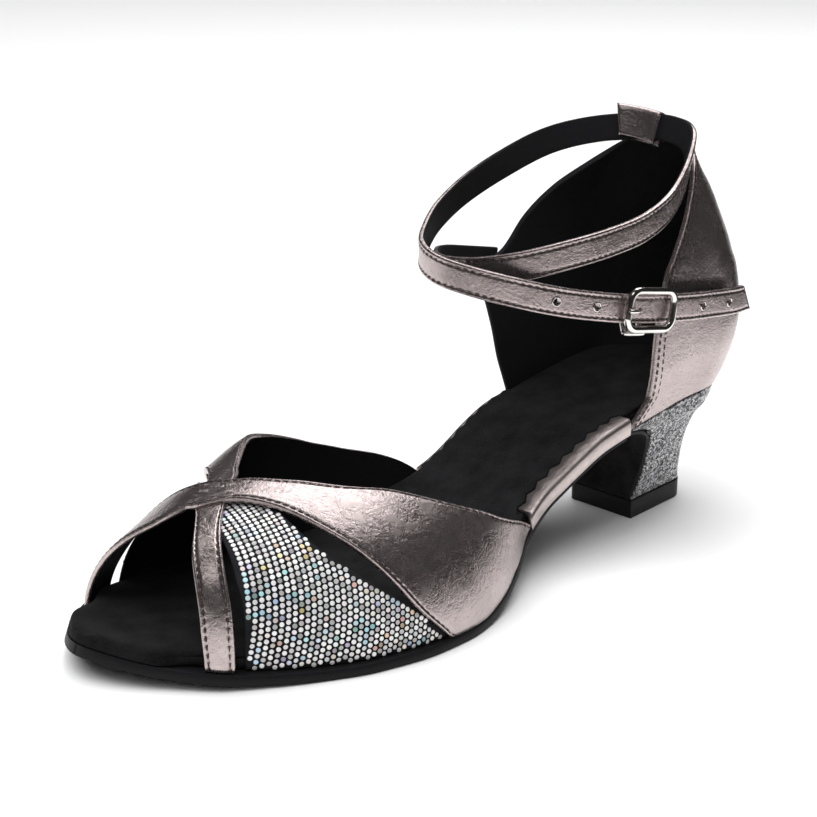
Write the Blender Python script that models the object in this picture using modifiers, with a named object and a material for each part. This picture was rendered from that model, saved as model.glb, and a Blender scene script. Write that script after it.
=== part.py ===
# Ladies' ballroom sandal, left foot: crossed vamp straps, glitter side panels, closed heel
# counter, one long ankle strap with a buckle, and a low flared heel.
# The toe points along -X, the outer (lateral) side of the foot faces -Y, and +Z is up.
# The origin lies on the floor under the middle of the heel's top lift.

from collections import namedtuple
from math import cos, pi, radians, sin

import bmesh
import bpy
import numpy as np
from mathutils import Matrix, Vector

for old in list(bpy.data.objects):
    bpy.data.objects.remove(old, do_unlink=True)

MM = 0.001

# Driving sizes of the whole shoe
SOLE_LENGTH = 238.0 * MM
BALL_WIDTH = 83.6 * MM
SEAT_HEIGHT = 42.5 * MM
TOE_SPRING = 5.9 * MM
INSTEP_HEIGHT = 46.0 * MM
HEEL_CENTRE = 28.0 * MM
CLEARANCE = 0.3 * MM

# Sole, board and lining
SOLE_THICKNESS = 3.0 * MM
WAIST_SOLE_THICKNESS = 2.2 * MM
FLAP_THICKNESS = 1.6 * MM
FLAP_LEAD = 2.5 * MM
BOARD_THICKNESS = 2.8 * MM
SOCK_THICKNESS = 1.0 * MM
EDGE_LEDGE = 3.4 * MM
TOE_LEDGE = 0.3 * MM
TOE_BLEND_START = 0.921
TOE_BLEND_END = 0.950
HEEL_ROUND = 26.0 * MM
TOE_ROUND = 15.0 * MM
TOOTH_PITCH = 5.1 * MM
TOOTH_DEPTH = 1.4 * MM
TOOTH_GAP = 0.5 * MM
WRAP_THICKNESS = 1.2 * MM
WRAP_FLANGE = 2.2 * MM
FAR_STEP = 0.2 * MM
FAR_TOOTH_DEPTH = 0.8 * MM

# Heel
LIFT_HEIGHT = 6.3 * MM
LIFT_OVERHANG = 0.2 * MM

# Vamp
STRAP_LEATHER = 1.6 * MM
PANEL_THICKNESS = 0.9 * MM
CROSSING_STEP = 1.2 * MM

# Counter
COUNTER_HEIGHT = 78.0 * MM
COUNTER_TOP = SEAT_HEIGHT + COUNTER_HEIGHT
COUNTER_WALL = 2.1 * MM
COUNTER_WIDTH = 53.0 * MM

# Ankle strap, loop and buckle
ANKLE_WIDTH = 8.6 * MM
ANKLE_THICKNESS = 1.9 * MM
HOLE_DIAMETER = 2.2 * MM
DRILL_TURN = 0.13
EYELET_RIM = 0.5 * MM
EYELET_GAP = 0.05 * MM
LOOP_WIDTH = 15.0 * MM
LOOP_LEATHER = 1.3 * MM
LOOP_INNER_DROP = 7.0 * MM
BUCKLE_LENGTH = 21.8 * MM
BUCKLE_WIRE = 2.3 * MM
BUCKLE_CORNER = 2.6 * MM
PRONG_WIRE = 1.3 * MM
HOOK_WIRE = 1.6 * MM
TAB_THICKNESS = 1.4 * MM
TAB_WIDTH = 6.4 * MM
HOOK_LENGTH = 7.0 * MM
HOOK_SHARE = 0.34
TAIL_SLANT = 6.5 * MM

# Plan of the sole: shares of SOLE_LENGTH from the heel, and of BALL_WIDTH across
PlanRow = namedtuple("PlanRow", "along middle half")
PLAN = [
    PlanRow(0.00, 0.000, 0.305),
    PlanRow(0.12, 0.000, 0.308),
    PlanRow(0.20, 0.000, 0.311),
    PlanRow(0.27, 0.000, 0.311),
    PlanRow(0.33, 0.006, 0.308),
    PlanRow(0.39, 0.008, 0.300),
    PlanRow(0.44, 0.004, 0.326),
    PlanRow(0.50, -0.016, 0.402),
    PlanRow(0.56, -0.038, 0.458),
    PlanRow(0.62, -0.054, 0.488),
    PlanRow(0.68, -0.051, 0.500),
    PlanRow(0.75, -0.024, 0.496),
    PlanRow(0.82, 0.024, 0.466),
    PlanRow(0.90, 0.076, 0.392),
    PlanRow(0.95, 0.087, 0.262),
    PlanRow(1.00, 0.094, 0.160),
]

# Side profile of the sole's upper face: arch is a share of the seat's rise, spring of the toe's
ProfileRow = namedtuple("ProfileRow", "along arch spring")
PROFILE = [
    ProfileRow(0.000, 1.000, 0.00),
    ProfileRow(0.084, 0.990, 0.00),
    ProfileRow(0.143, 0.955, 0.00),
    ProfileRow(0.185, 0.910, 0.00),
    ProfileRow(0.218, 0.870, 0.00),
    ProfileRow(0.252, 0.825, 0.00),
    ProfileRow(0.294, 0.762, 0.00),
    ProfileRow(0.336, 0.645, 0.00),
    ProfileRow(0.378, 0.505, 0.00),
    ProfileRow(0.420, 0.372, 0.00),
    ProfileRow(0.480, 0.210, 0.00),
    ProfileRow(0.540, 0.068, 0.00),
    ProfileRow(0.590, 0.008, 0.00),
    ProfileRow(0.630, 0.000, 0.00),
    ProfileRow(0.790, 0.000, 0.00),
    ProfileRow(0.880, 0.000, 0.17),
    ProfileRow(0.950, 0.000, 0.50),
    ProfileRow(1.000, 0.000, 1.05),
]

# Heel block: up is a share of SEAT_HEIGHT; back, front and round of SOLE_LENGTH; half of BALL_WIDTH
HeelRow = namedtuple("HeelRow", "up back front half middle round taper")
HEEL = [
    HeelRow(0.155, 0.0420, 0.1835, 0.150, -0.026, 0.032, 0.34),
    HeelRow(0.250, 0.0455, 0.1780, 0.163, -0.023, 0.034, 0.31),
    HeelRow(0.380, 0.0460, 0.1720, 0.182, -0.019, 0.040, 0.27),
    HeelRow(0.520, 0.0430, 0.1710, 0.204, -0.014, 0.052, 0.21),
    HeelRow(0.660, 0.0340, 0.1750, 0.232, -0.008, 0.070, 0.14),
    HeelRow(0.740, 0.0260, 0.1860, 0.252, -0.004, 0.084, 0.09),
    HeelRow(0.790, 0.0200, 0.2050, 0.268, -0.002, 0.094, 0.05),
    HeelRow(0.826, 0.0175, 0.2420, 0.288, 0.000, 0.101, 0.02),
    HeelRow(0.900, 0.0110, 0.2480, 0.300, 0.000, 0.107, 0.00),
    HeelRow(0.985, 0.0060, 0.2480, 0.307, 0.000, 0.109, 0.00),
]

# Crown of the last over the toes: along is a share of SOLE_LENGTH, across of BALL_WIDTH,
# height of INSTEP_HEIGHT above the sole; outer and inner are how square the lateral and the
# medial side of the section are
CrownRow = namedtuple("CrownRow", "along across height outer inner")
CROWN = [
    CrownRow(0.42, 0.17, 1.08, 2.0, 2.6),
    CrownRow(0.53, 0.19, 1.03, 2.0, 2.7),
    CrownRow(0.62, 0.19, 0.97, 2.0, 2.8),
    CrownRow(0.70, 0.19, 0.905, 2.2, 2.7),
    CrownRow(0.76, 0.14, 0.815, 2.4, 2.3),
    CrownRow(0.82, 0.09, 0.735, 2.6, 1.9),
    CrownRow(0.89, 0.05, 0.60, 2.7, 1.6),
    CrownRow(0.96, 0.05, 0.46, 2.6, 1.5),
]

# Vamp straps and panels: each row is a line across the piece between its two edges.
# along is a share of SOLE_LENGTH; side runs from -1 at the lateral welt over 0 at the crown to 1
BandRow = namedtuple("BandRow", "rear_along rear_side front_along front_side lift")
STRAP_OVER = [
    BandRow(0.435, -1.00, 0.652, -1.00, 0.0),
    BandRow(0.516, -0.773, 0.690, -0.88, 0.0),
    BandRow(0.566, -0.632, 0.712, -0.77, 0.0),
    BandRow(0.646, -0.455, 0.737, -0.615, 0.0),
    BandRow(0.705, -0.341, 0.764, -0.43, 0.0),
    BandRow(0.745, -0.20, 0.790, -0.235, 0.5),
    BandRow(0.772, -0.095, 0.814, -0.108, 1.0),
    BandRow(0.797, -0.004, 0.845, -0.02, 1.0),
    BandRow(0.812, 0.10, 0.872, 0.085, 0.8),
    BandRow(0.826, 0.30, 0.893, 0.21, 0.3),
    BandRow(0.845, 0.50, 0.909, 0.44, 0.0),
    BandRow(0.865, 0.76, 0.9125, 0.76, 0.0),
    BandRow(0.873, 1.00, 0.912, 1.00, 0.0),
]
STRAP_UNDER = [
    BandRow(0.886, -1.00, 0.909, -1.00, 0.0),
    BandRow(0.885, -0.80, 0.9095, -0.80, 0.0),
    BandRow(0.879, -0.53, 0.905, -0.50, 0.0),
    BandRow(0.867, -0.326, 0.895, -0.28, 0.0),
    BandRow(0.849, -0.185, 0.876, -0.13, 0.0),
    BandRow(0.823, -0.09, 0.847, -0.017, 0.0),
    BandRow(0.790, -0.03, 0.812, 0.05, 0.0),
    BandRow(0.762, 0.00, 0.783, 0.16, 0.0),
    BandRow(0.718, 0.12, 0.755, 0.40, 0.0),
    BandRow(0.660, 0.37, 0.735, 0.58, 0.0),
    BandRow(0.545, 0.70, 0.702, 0.78, 0.0),
    BandRow(0.422, 1.00, 0.651, 1.00, 0.0),
]
PANEL_LATERAL = [
    BandRow(0.800, -0.13, 0.836, -0.115, 0.0),
    BandRow(0.784, -0.27, 0.858, -0.29, 0.0),
    BandRow(0.779, -0.48, 0.8685, -0.50, 0.0),
    BandRow(0.745, -0.70, 0.872, -0.72, 0.0),
    BandRow(0.700, -0.855, 0.875, -0.87, 0.0),
    BandRow(0.650, -1.00, 0.8764, -1.00, 0.0),
]
PANEL_MEDIAL = [
    BandRow(0.800, 0.10, 0.835, 0.17, 0.0),
    BandRow(0.775, 0.36, 0.848, 0.35, 0.0),
    BandRow(0.752, 0.54, 0.855, 0.52, 0.0),
    BandRow(0.712, 0.77, 0.858, 0.76, 0.0),
    BandRow(0.655, 1.00, 0.861, 1.00, 0.0),
]

# Counter: up is a share of COUNTER_HEIGHT above the seat; back, lateral and medial give the
# wall's rear and front edges as shares of SOLE_LENGTH; half is a share of COUNTER_WIDTH
CounterRow = namedtuple("CounterRow", "up back half lateral medial")
COUNTER = [
    CounterRow(0.000, 0.001, 0.486, 0.2485, 0.2560),
    CounterRow(0.040, -0.010, 0.489, 0.2300, 0.2600),
    CounterRow(0.085, -0.020, 0.493, 0.2140, 0.2650),
    CounterRow(0.180, -0.034, 0.505, 0.2110, 0.2750),
    CounterRow(0.285, -0.039, 0.509, 0.2096, 0.2840),
    CounterRow(0.389, -0.034, 0.509, 0.2050, 0.2960),
    CounterRow(0.484, -0.025, 0.505, 0.1966, 0.3070),
    CounterRow(0.541, -0.015, 0.500, 0.1900, 0.3060),
    CounterRow(0.598, -0.007, 0.490, 0.1755, 0.2700),
    CounterRow(0.702, 0.010, 0.460, 0.1500, 0.2400),
    CounterRow(0.806, 0.026, 0.405, 0.1250, 0.1950),
    CounterRow(0.882, 0.040, 0.345, 0.1040, 0.1430),
    CounterRow(0.945, 0.048, 0.290, 0.0800, 0.1000),
    CounterRow(1.000, 0.051, 0.250, 0.0640, 0.0700),
]

# Ankle strap: shares of SOLE_LENGTH forward of the sole's back end, of COUNTER_WIDTH across,
# and of SOLE_LENGTH up from the floor
StrapPoint = namedtuple("StrapPoint", "along across up")
ANKLE_ROUTE = [
    StrapPoint(0.268, 0.560, 0.6722),
    StrapPoint(0.300, 0.550, 0.6838),
    StrapPoint(0.345, 0.500, 0.7021),
    StrapPoint(0.385, 0.435, 0.7187),
    StrapPoint(0.425, 0.325, 0.7320),
    StrapPoint(0.455, 0.180, 0.7353),
    StrapPoint(0.465, 0.020, 0.7402),
    StrapPoint(0.456, -0.160, 0.7494),
    StrapPoint(0.428, -0.345, 0.7685),
    StrapPoint(0.380, -0.480, 0.7917),
    StrapPoint(0.315, -0.535, 0.8098),
    StrapPoint(0.250, -0.530, 0.8295),
    StrapPoint(0.187, -0.475, 0.8670),
    StrapPoint(0.132, -0.380, 0.9323),
    StrapPoint(0.092, -0.250, 0.9935),
    StrapPoint(0.074, -0.060, 1.0113),
    StrapPoint(0.086, 0.160, 1.0132),
    StrapPoint(0.128, 0.370, 1.0014),
    StrapPoint(0.182, 0.515, 0.9738),
    StrapPoint(0.250, 0.580, 0.9244),
    StrapPoint(0.325, 0.560, 0.8750),
    StrapPoint(0.390, 0.480, 0.8295),
    StrapPoint(0.440, 0.350, 0.7960),
    StrapPoint(0.480, 0.190, 0.7742),
    StrapPoint(0.496, 0.000, 0.7564),
    StrapPoint(0.484, -0.200, 0.7387),
    StrapPoint(0.450, -0.400, 0.7150),
    StrapPoint(0.400, -0.530, 0.6873),
    StrapPoint(0.340, -0.600, 0.6617),
    StrapPoint(0.290, -0.625, 0.6439),
    StrapPoint(0.235, -0.635, 0.6280),
    StrapPoint(0.180, -0.628, 0.6142),
    StrapPoint(0.125, -0.610, 0.6024),
    StrapPoint(0.075, -0.585, 0.5926),
    StrapPoint(0.042, -0.555, 0.5886),
]
# How far the strap's upper edge leans outward, in degrees at shares of its length
LeanRow = namedtuple("LeanRow", "place lean")
LEAN = [
    LeanRow(0.00, 0.0),
    LeanRow(0.26, 0.0),
    LeanRow(0.38, 12.0),
    LeanRow(0.45, 20.0),
    LeanRow(0.53, 14.0),
    LeanRow(0.62, 0.0),
    LeanRow(1.00, 0.0),
]
# Places along the strap's length, as shares from its sewn end
HOLES = [0.7995, 0.8302, 0.9375, 0.9715]
BUCKLE_SHARE = 0.876
LOOP_SHARE = 0.443
TAB_PLACES = [0.858, 0.872, 0.886, 0.902, 0.918]


# Colours
def finish(name, colour, roughness, metallic):
    material = bpy.data.materials.new(name)
    material.use_nodes = True
    shader = material.node_tree.nodes["Principled BSDF"]
    shader.inputs["Base Color"].default_value = (*colour, 1.0)
    shader.inputs["Roughness"].default_value = roughness
    shader.inputs["Metallic"].default_value = metallic
    material.diffuse_color = (*colour, 1.0)
    return material


def foil_leather(name):
    return finish(name, (0.34, 0.27, 0.26), 0.34, 0.75)


def glitter_fabric(name):
    return finish(name, (0.42, 0.42, 0.44), 0.4, 0.4)


def black_suede(name):
    return finish(name, (0.012, 0.012, 0.013), 0.95, 0.0)


def nickel(name):
    return finish(name, (0.72, 0.70, 0.68), 0.2, 1.0)


# Smooth curves through short tables
def smooth(places, values):
    """A function that passes through the values without overshooting them."""
    places = np.array(places, float)
    values = np.array(values, float)
    step = np.diff(places)
    slope = np.diff(values) / step
    tangent = np.empty(len(places))
    tangent[0] = slope[0]
    tangent[-1] = slope[-1]
    for i in range(1, len(places) - 1):
        if slope[i - 1] * slope[i] <= 0:
            tangent[i] = 0.0
        else:
            before = 2 * step[i] + step[i - 1]
            after = step[i] + 2 * step[i - 1]
            tangent[i] = (before + after) / (before / slope[i - 1] + after / slope[i])

    def at(place):
        i = int(np.clip(np.searchsorted(places, place) - 1, 0, len(step) - 1))
        t = float(np.clip((place - places[i]) / step[i], 0.0, 1.0))
        start = values[i] * (1 + 2 * t) * (1 - t) ** 2 + step[i] * tangent[i] * t * (1 - t) ** 2
        end = values[i + 1] * t * t * (3 - 2 * t) + step[i] * tangent[i + 1] * t * t * (t - 1)
        return float(start + end)

    return at


def columns(rows):
    """One smooth function for each column after the first."""
    places = [row[0] for row in rows]
    return {name: smooth(places, [getattr(row, name) for row in rows]) for name in rows[0]._fields[1:]}


def spline(points, count):
    """Evenly spaced points on a smooth curve through the given points."""
    points = [Vector(p) for p in points]
    points = [points[0] * 2 - points[1], *points, points[-1] * 2 - points[-2]]
    fine = []
    for i in range(1, len(points) - 2):
        for k in range(16):
            fine.append(catmull_rom(points[i - 1:i + 3], k / 16))
    fine.append(points[-2])
    lengths = np.cumsum([0.0] + [(b - a).length for a, b in zip(fine, fine[1:])])
    wanted = np.linspace(0.0, lengths[-1], count)
    table = np.array([tuple(p) for p in fine])
    return [Vector([np.interp(w, lengths, table[:, axis]) for axis in range(3)]) for w in wanted]


def catmull_rom(four, t):
    a, b, c, d = four
    return 0.5 * (2 * b + (c - a) * t + (2 * a - 5 * b + 4 * c - d) * t * t + (3 * b - a - 3 * c + d) * t ** 3)


# Meshes
def new_object(name, vertices, faces, material):
    mesh = bpy.data.meshes.new(name)
    mesh.from_pydata([tuple(v) for v in vertices], [], faces)
    shell = bmesh.new()
    shell.from_mesh(mesh)
    bmesh.ops.recalc_face_normals(shell, faces=shell.faces)
    shell.to_mesh(mesh)
    shell.free()
    mesh.shade_smooth()
    mesh.set_sharp_from_angle(angle=radians(40))
    mesh.materials.append(material)
    obj = bpy.data.objects.new(name, mesh)
    shoe.objects.link(obj)
    return obj


def loft(name, rings, material):
    """A closed solid through rings that all have the same number of points."""
    size = len(rings[0])
    vertices = [point for ring in rings for point in ring]
    faces = [list(range(size)), list(range((len(rings) - 1) * size, len(rings) * size))]
    for i in range(len(rings) - 1):
        for j in range(size):
            k = (j + 1) % size
            faces.append([i * size + j, i * size + k, (i + 1) * size + k, (i + 1) * size + j])
    return new_object(name, vertices, faces, material)


def slab(name, upper, lower, material):
    """A closed solid between two grids of points with the same rows and columns."""
    rows = len(upper)
    cols = len(upper[0])
    vertices = [p for row in upper for p in row] + [p for row in lower for p in row]
    under = rows * cols
    faces = []
    for i in range(rows - 1):
        for j in range(cols - 1):
            a = i * cols + j
            quad = [a, a + 1, a + cols + 1, a + cols]
            faces.append(quad)
            faces.append([under + k for k in reversed(quad)])
    rim = [j for j in range(cols)]
    rim += [i * cols + cols - 1 for i in range(1, rows)]
    rim += [(rows - 1) * cols + j for j in range(cols - 2, -1, -1)]
    rim += [i * cols for i in range(rows - 2, 0, -1)]
    for a, b in zip(rim, rim[1:] + rim[:1]):
        faces.append([a, b, under + b, under + a])
    return new_object(name, vertices, faces, material)


def tube(name, points, diameter, material, cyclic=False, rounding=2):
    curve = bpy.data.curves.new(name, "CURVE")
    curve.dimensions = "3D"
    curve.bevel_depth = diameter / 2
    curve.bevel_resolution = rounding
    curve.use_fill_caps = not cyclic
    line = curve.splines.new("POLY")
    line.points.add(len(points) - 1)
    for place, point in zip(line.points, points):
        place.co = (*point, 1.0)
    line.use_cyclic_u = cyclic
    curve.materials.append(material)
    obj = bpy.data.objects.new(name, curve)
    shoe.objects.link(obj)
    return obj


def place(along, across, height):
    """A point of the shoe: along runs from the sole's back end towards the toe."""
    return Vector((HEEL_CENTRE - along, across, height))


# The sole's plan and side profile
plan = columns(PLAN)
profile = columns(PROFILE)


def round_end(distance, radius):
    """How much of its full width a round end has at a distance from its tip."""
    return (1.0 - (1.0 - min(max(distance / radius, 0.0), 1.0)) ** 2) ** 0.5


def board_inset(along):
    """Width of the sole's ledge outside the board: narrower round the toe."""
    share = (along / SOLE_LENGTH - TOE_BLEND_START) / (TOE_BLEND_END - TOE_BLEND_START)
    share = min(max(share, 0.0), 1.0)
    return EDGE_LEDGE + (TOE_LEDGE - EDGE_LEDGE) * share


def half_width(along, inset=0.0):
    """(middle, half width) of the sole's outline, drawn in by the inset all round."""
    length = SOLE_LENGTH - 2 * inset
    share = min(max((along - inset) / length, 0.0), 1.0)
    half = plan["half"](share) * BALL_WIDTH - inset
    ends = round_end(share * length, HEEL_ROUND - inset) * round_end((1 - share) * length, TOE_ROUND)
    return plan["middle"](share) * BALL_WIDTH, half * ends


def sole_top(along):
    share = along / SOLE_LENGTH
    rise = profile["arch"](share) * (SEAT_HEIGHT - SOLE_THICKNESS)
    return SOLE_THICKNESS + rise + profile["spring"](share) * TOE_SPRING


def stations(start, end, count, ends=(True, True)):
    """Places from start to end, closer together towards a round end."""
    low = -pi / 2 if ends[0] else 0.0
    high = pi / 2 if ends[1] else 0.0
    shares = np.sin(np.linspace(low, high, count))
    shares = (shares - shares[0]) / (shares[-1] - shares[0])
    return [start + (end - start) * float(s) for s in shares]


def across_points(along, inset, count):
    middle, half = half_width(along, inset)
    return [middle + half * side for side in np.linspace(-1.0, 1.0, count)]


# Heel block
heel = columns(HEEL)
HEEL_RING = 14
FLAP_ROWS = 8


def heel_ring(up, height, grow=0.0, blend=0.0):
    """One section of the heel, straight across its front; blend lifts it towards the board."""
    back = heel["back"](up) * SOLE_LENGTH - grow
    front = heel["front"](up) * SOLE_LENGTH + grow
    half = heel["half"](up) * BALL_WIDTH + grow
    middle = heel["middle"](up) * BALL_WIDTH
    depth = heel["round"](up) * SOLE_LENGTH
    taper = heel["taper"](up)
    side = []
    for share in np.sin(np.linspace(0.0, pi / 2, HEEL_RING)) ** 2:
        along = back + (front - back) * float(share)
        width = half * (1.0 - taper * (front - along) / (front - back))
        side.append((along, width * round_end(along - back, depth)))
    outline = [(a, -w) for a, w in reversed(side)] + side[1:]
    ring = []
    for along, across in outline:
        level = height + (sole_top(along) - height) * blend
        ring.append(place(along, middle + across, level))
    return ring


def make_heel():
    low = LIFT_HEIGHT + CLEARANCE
    breast = HEEL[FLAP_ROWS - 1].up
    ups = [low / SEAT_HEIGHT, *[row.up for row in HEEL[1:FLAP_ROWS]]]
    rings = [heel_ring(up, up * SEAT_HEIGHT) for up in ups]
    for up in [*[row.up for row in HEEL[FLAP_ROWS:]], 1.0]:
        rings.append(heel_ring(up, breast * SEAT_HEIGHT, blend=(up - breast) / (1.0 - breast)))
    loft("heel_block", rings, glitter_fabric("heel_glitter"))
    lift = [heel_ring(HEEL[0].up, height, LIFT_OVERHANG) for height in (0.0, LIFT_HEIGHT)]
    loft("top_lift", lift, finish("lift_rubber", (0.01, 0.01, 0.01), 0.5, 0.0))


# Outsole: its upper line follows the board, then turns down the front of the heel
def outsole_line():
    """(along, height, thickness) of the sole's upper face from the toe to the lift."""
    line = []
    flap_top = HEEL[-1].front * SOLE_LENGTH + FLAP_LEAD
    for along in stations(SOLE_LENGTH, flap_top, 44, (True, False)):
        share = along / SOLE_LENGTH
        blend = min(max((share - 0.42) / (0.58 - 0.42), 0.0), 1.0)
        thickness = WAIST_SOLE_THICKNESS + (SOLE_THICKNESS - WAIST_SOLE_THICKNESS) * blend
        line.append((along, sole_top(along), thickness))
    for row in reversed(HEEL[1:FLAP_ROWS]):
        line.append((row.front * SOLE_LENGTH + CLEARANCE * 1.5, row.up * SEAT_HEIGHT - CLEARANCE, FLAP_THICKNESS))
    foot = HEEL[0]
    line.append((foot.front * SOLE_LENGTH + CLEARANCE * 1.5, LIFT_HEIGHT + CLEARANCE, FLAP_THICKNESS))
    return line


def make_outsole():
    line = outsole_line()
    upper = []
    lower = []
    for i, (along, height, thickness) in enumerate(line):
        before = line[max(i - 1, 0)]
        after = line[min(i + 1, len(line) - 1)]
        run = Vector((after[0] - before[0], after[1] - before[1])).normalized()
        down = Vector((-run.y, run.x))
        if i > 44 or along < HEEL[-1].front * SOLE_LENGTH:
            up = min(height / SEAT_HEIGHT, HEEL[-1].up)
            middle = heel["middle"](up) * BALL_WIDTH
            half = heel["half"](up) * BALL_WIDTH - 0.4 * MM
        else:
            middle, half = half_width(along)
        sides = np.linspace(-1.0, 1.0, 3)
        upper.append([place(along, middle + half * s, height) for s in sides])
        low = place(along + down.x * thickness, middle, height + down.y * thickness)
        level = low.z
        if thickness == SOLE_THICKNESS and abs(height - SOLE_THICKNESS) < 1e-6:
            level = 0.0
        lower.append([Vector((low.x, middle + half * s, level)) for s in sides])
    slab("outsole", upper, lower, black_suede("sole_suede"))


# Insole board, waist wraps and sock
WRAP_START = 0.2505
WRAP_END = 0.4440


# Places between which the medial side shows neither the counter nor the vamp
def medial_stops():
    return COUNTER[2].medial * SOLE_LENGTH + CLEARANCE, STRAP_UNDER[-1].rear_along * SOLE_LENGTH


def far_edge(index, along):
    rear_stop, front_stop = medial_stops()
    if not rear_stop < along < front_stop:
        return EDGE_LEDGE + CLEARANCE
    depth = FAR_TOOTH_DEPTH if index % 2 else 0.0
    return EDGE_LEDGE - CLEARANCE - WRAP_THICKNESS + FAR_STEP + depth


def waist_places():
    start = WRAP_START * SOLE_LENGTH
    end = WRAP_END * SOLE_LENGTH
    count = max(2, 2 * round((end - start) / TOOTH_PITCH))
    return [start + (end - start) * i / count for i in range(count + 1)]


def board_top(along):
    return sole_top(along) + CLEARANCE + BOARD_THICKNESS


def make_board():
    upper = []
    lower = []
    for along in stations(EDGE_LEDGE, SOLE_LENGTH - TOE_LEDGE, 48):
        row = across_points(along, board_inset(along), 3)
        upper.append([place(along, y, board_top(along)) for y in row])
        lower.append([place(along, y, sole_top(along) + CLEARANCE) for y in row])
    slab("insole_board", upper, lower, black_suede("board_suede"))


def sock_edge(index, flange):
    """Inset of the sock's pinked edge from the sole's outline in the waist."""
    return EDGE_LEDGE + flange + (TOOTH_DEPTH if index % 2 else 0.0)


def make_sock():
    waist = waist_places()
    heel_inset = EDGE_LEDGE + CLEARANCE
    toe = SOLE_LENGTH - TOE_LEDGE - CLEARANCE
    rows = []
    for along in stations(heel_inset, waist[0] - TOOTH_GAP, 16, (True, False)):
        rows.append((along, heel_inset, heel_inset))
    for i, along in enumerate(waist):
        rows.append((along, sock_edge(i, WRAP_FLANGE), far_edge(i, along)))
    for along in stations(waist[-1] + TOOTH_GAP, toe, 32, (False, True)):
        inset = board_inset(along) + CLEARANCE
        rows.append((along, inset, inset))
    upper = []
    lower = []
    for along, near, far in rows:
        middle, half = half_width(along, min(near, heel_inset))
        left = middle - half + max(near - heel_inset, 0.0)
        right = middle + half - (far - min(near, heel_inset))
        line = np.linspace(left, right, 3)
        floor = board_top(along) + CLEARANCE
        upper.append([place(along, y, floor + SOCK_THICKNESS) for y in line])
        lower.append([place(along, y, floor) for y in line])
    slab("insole_sock", upper, lower, black_suede("sock_suede"))


# Leather over the board's edge: a side wall, and a thin flange where the sock doesn't cover it
def make_wrap(name, side, flange, rear_stop, front_stop):
    rings = []
    waist = waist_places()
    for i, along in enumerate(waist):
        if not rear_stop < along < front_stop:
            continue
        middle, half = half_width(along)
        wall_in = half - EDGE_LEDGE + CLEARANCE
        wall_out = wall_in + WRAP_THICKNESS
        low = sole_top(along) + CLEARANCE
        section = [(wall_in, low), (wall_out, low)]
        if flange:
            flange_in = half - sock_edge(i, flange) + CLEARANCE
            shelf = board_top(along) + CLEARANCE
            top = shelf + SOCK_THICKNESS * 0.8
            section += [(wall_out, top), (flange_in, top), (flange_in, shelf), (wall_in, shelf)]
        else:
            section += [(wall_out, board_top(along)), (wall_in, board_top(along))]
        rings.append([place(along, middle + side * y, z) for y, z in section])
    loft(name, rings, foil_leather(name + "_leather"))


# Vamp: the last's surface over the toes, and bands laid on it
crown = columns(CROWN)


def last_point(along, side):
    """Point of the last at a place along the foot; side is -1 at the lateral welt, 1 at the medial."""
    share = along / SOLE_LENGTH
    middle, half = half_width(along, board_inset(along))
    base = sole_top(along) + CLEARANCE
    top = crown["height"](share) * INSTEP_HEIGHT
    across = min(crown["across"](share) * BALL_WIDTH, middle + half * 0.6)
    power = crown["outer" if side < 0 else "inner"](share)
    turn = (1.0 - abs(side)) * pi / 2
    welt = middle + half * (-1 if side < 0 else 1)
    y = across + (welt - across) * max(cos(turn), 0.0) ** (2 / power)
    return place(along, y, base + top * max(sin(turn), 0.0) ** (2 / power))


def last_offset(along, side, distance):
    small = 0.01
    inner = min(max(side, -0.98), 0.98)
    here = last_point(along, inner)
    forward = last_point(along + 0.5 * MM, inner) - here
    sideways = last_point(along, inner + small) - here
    normal = forward.cross(sideways).normalized()
    if normal.dot(Vector((0.0, inner, 0.6))) < 0:
        normal.negate()
    if abs(side) > 0.97:
        normal.z = 0.0
        normal.normalize()
    point = last_point(along, side) + normal * distance
    point.z = max(point.z, sole_top(HEEL_CENTRE - point.x) + CLEARANCE)
    return point


def band_grid(rows, offset, lifts, length_count, width_count):
    """Points of a band on the last: a smooth curve along each edge, then lines between them."""
    rear = spline([(row.rear_along, row.rear_side, row.lift) for row in rows], length_count)
    front = spline([(row.front_along, row.front_side, row.lift) for row in rows], length_count)
    grid = []
    for a, b in zip(rear, front):
        line = []
        for t in np.linspace(0.0, 1.0, width_count):
            point = a.lerp(b, float(t))
            side = min(max(point.y, -1.0), 1.0)
            line.append(last_offset(point.x * SOLE_LENGTH, side, offset + lifts * point.z))
        grid.append(line)
    return grid


def make_band(name, rows, offset, thickness, lifts, length_count, width_count, material):
    outer = band_grid(rows, offset + thickness, lifts, length_count, width_count)
    inner = band_grid(rows, offset, lifts, length_count, width_count)
    return slab(name, outer, inner, material)


def make_vamp():
    under = CLEARANCE * 2 + PANEL_THICKNESS
    leather = foil_leather("vamp_leather")
    over = make_band("vamp_straps", STRAP_OVER, under, STRAP_LEATHER, CROSSING_STEP, 36, 6, leather)
    below = make_band("under_strap", STRAP_UNDER, under, STRAP_LEATHER, 0.0, 36, 6, leather)
    joined = over.modifiers.new("joined", "BOOLEAN")
    joined.operation = "UNION"
    joined.object = below
    helpers.objects.link(below)
    shoe.objects.unlink(below)
    below.hide_render = True
    below.display_type = "WIRE"
    glitter = glitter_fabric("panel_glitter")
    make_band("glitter_panel_lateral", PANEL_LATERAL, CLEARANCE * 1.2, PANEL_THICKNESS, 0.0, 12, 10, glitter)
    make_band("glitter_panel_medial", PANEL_MEDIAL, CLEARANCE * 1.2, PANEL_THICKNESS, 0.0, 12, 10, glitter)


# Heel counter: an open sheet given its wall by Solidify
counter = columns(COUNTER)
COUNTER_ROWS = 17
COUNTER_HALF_COLUMNS = 10


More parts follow.
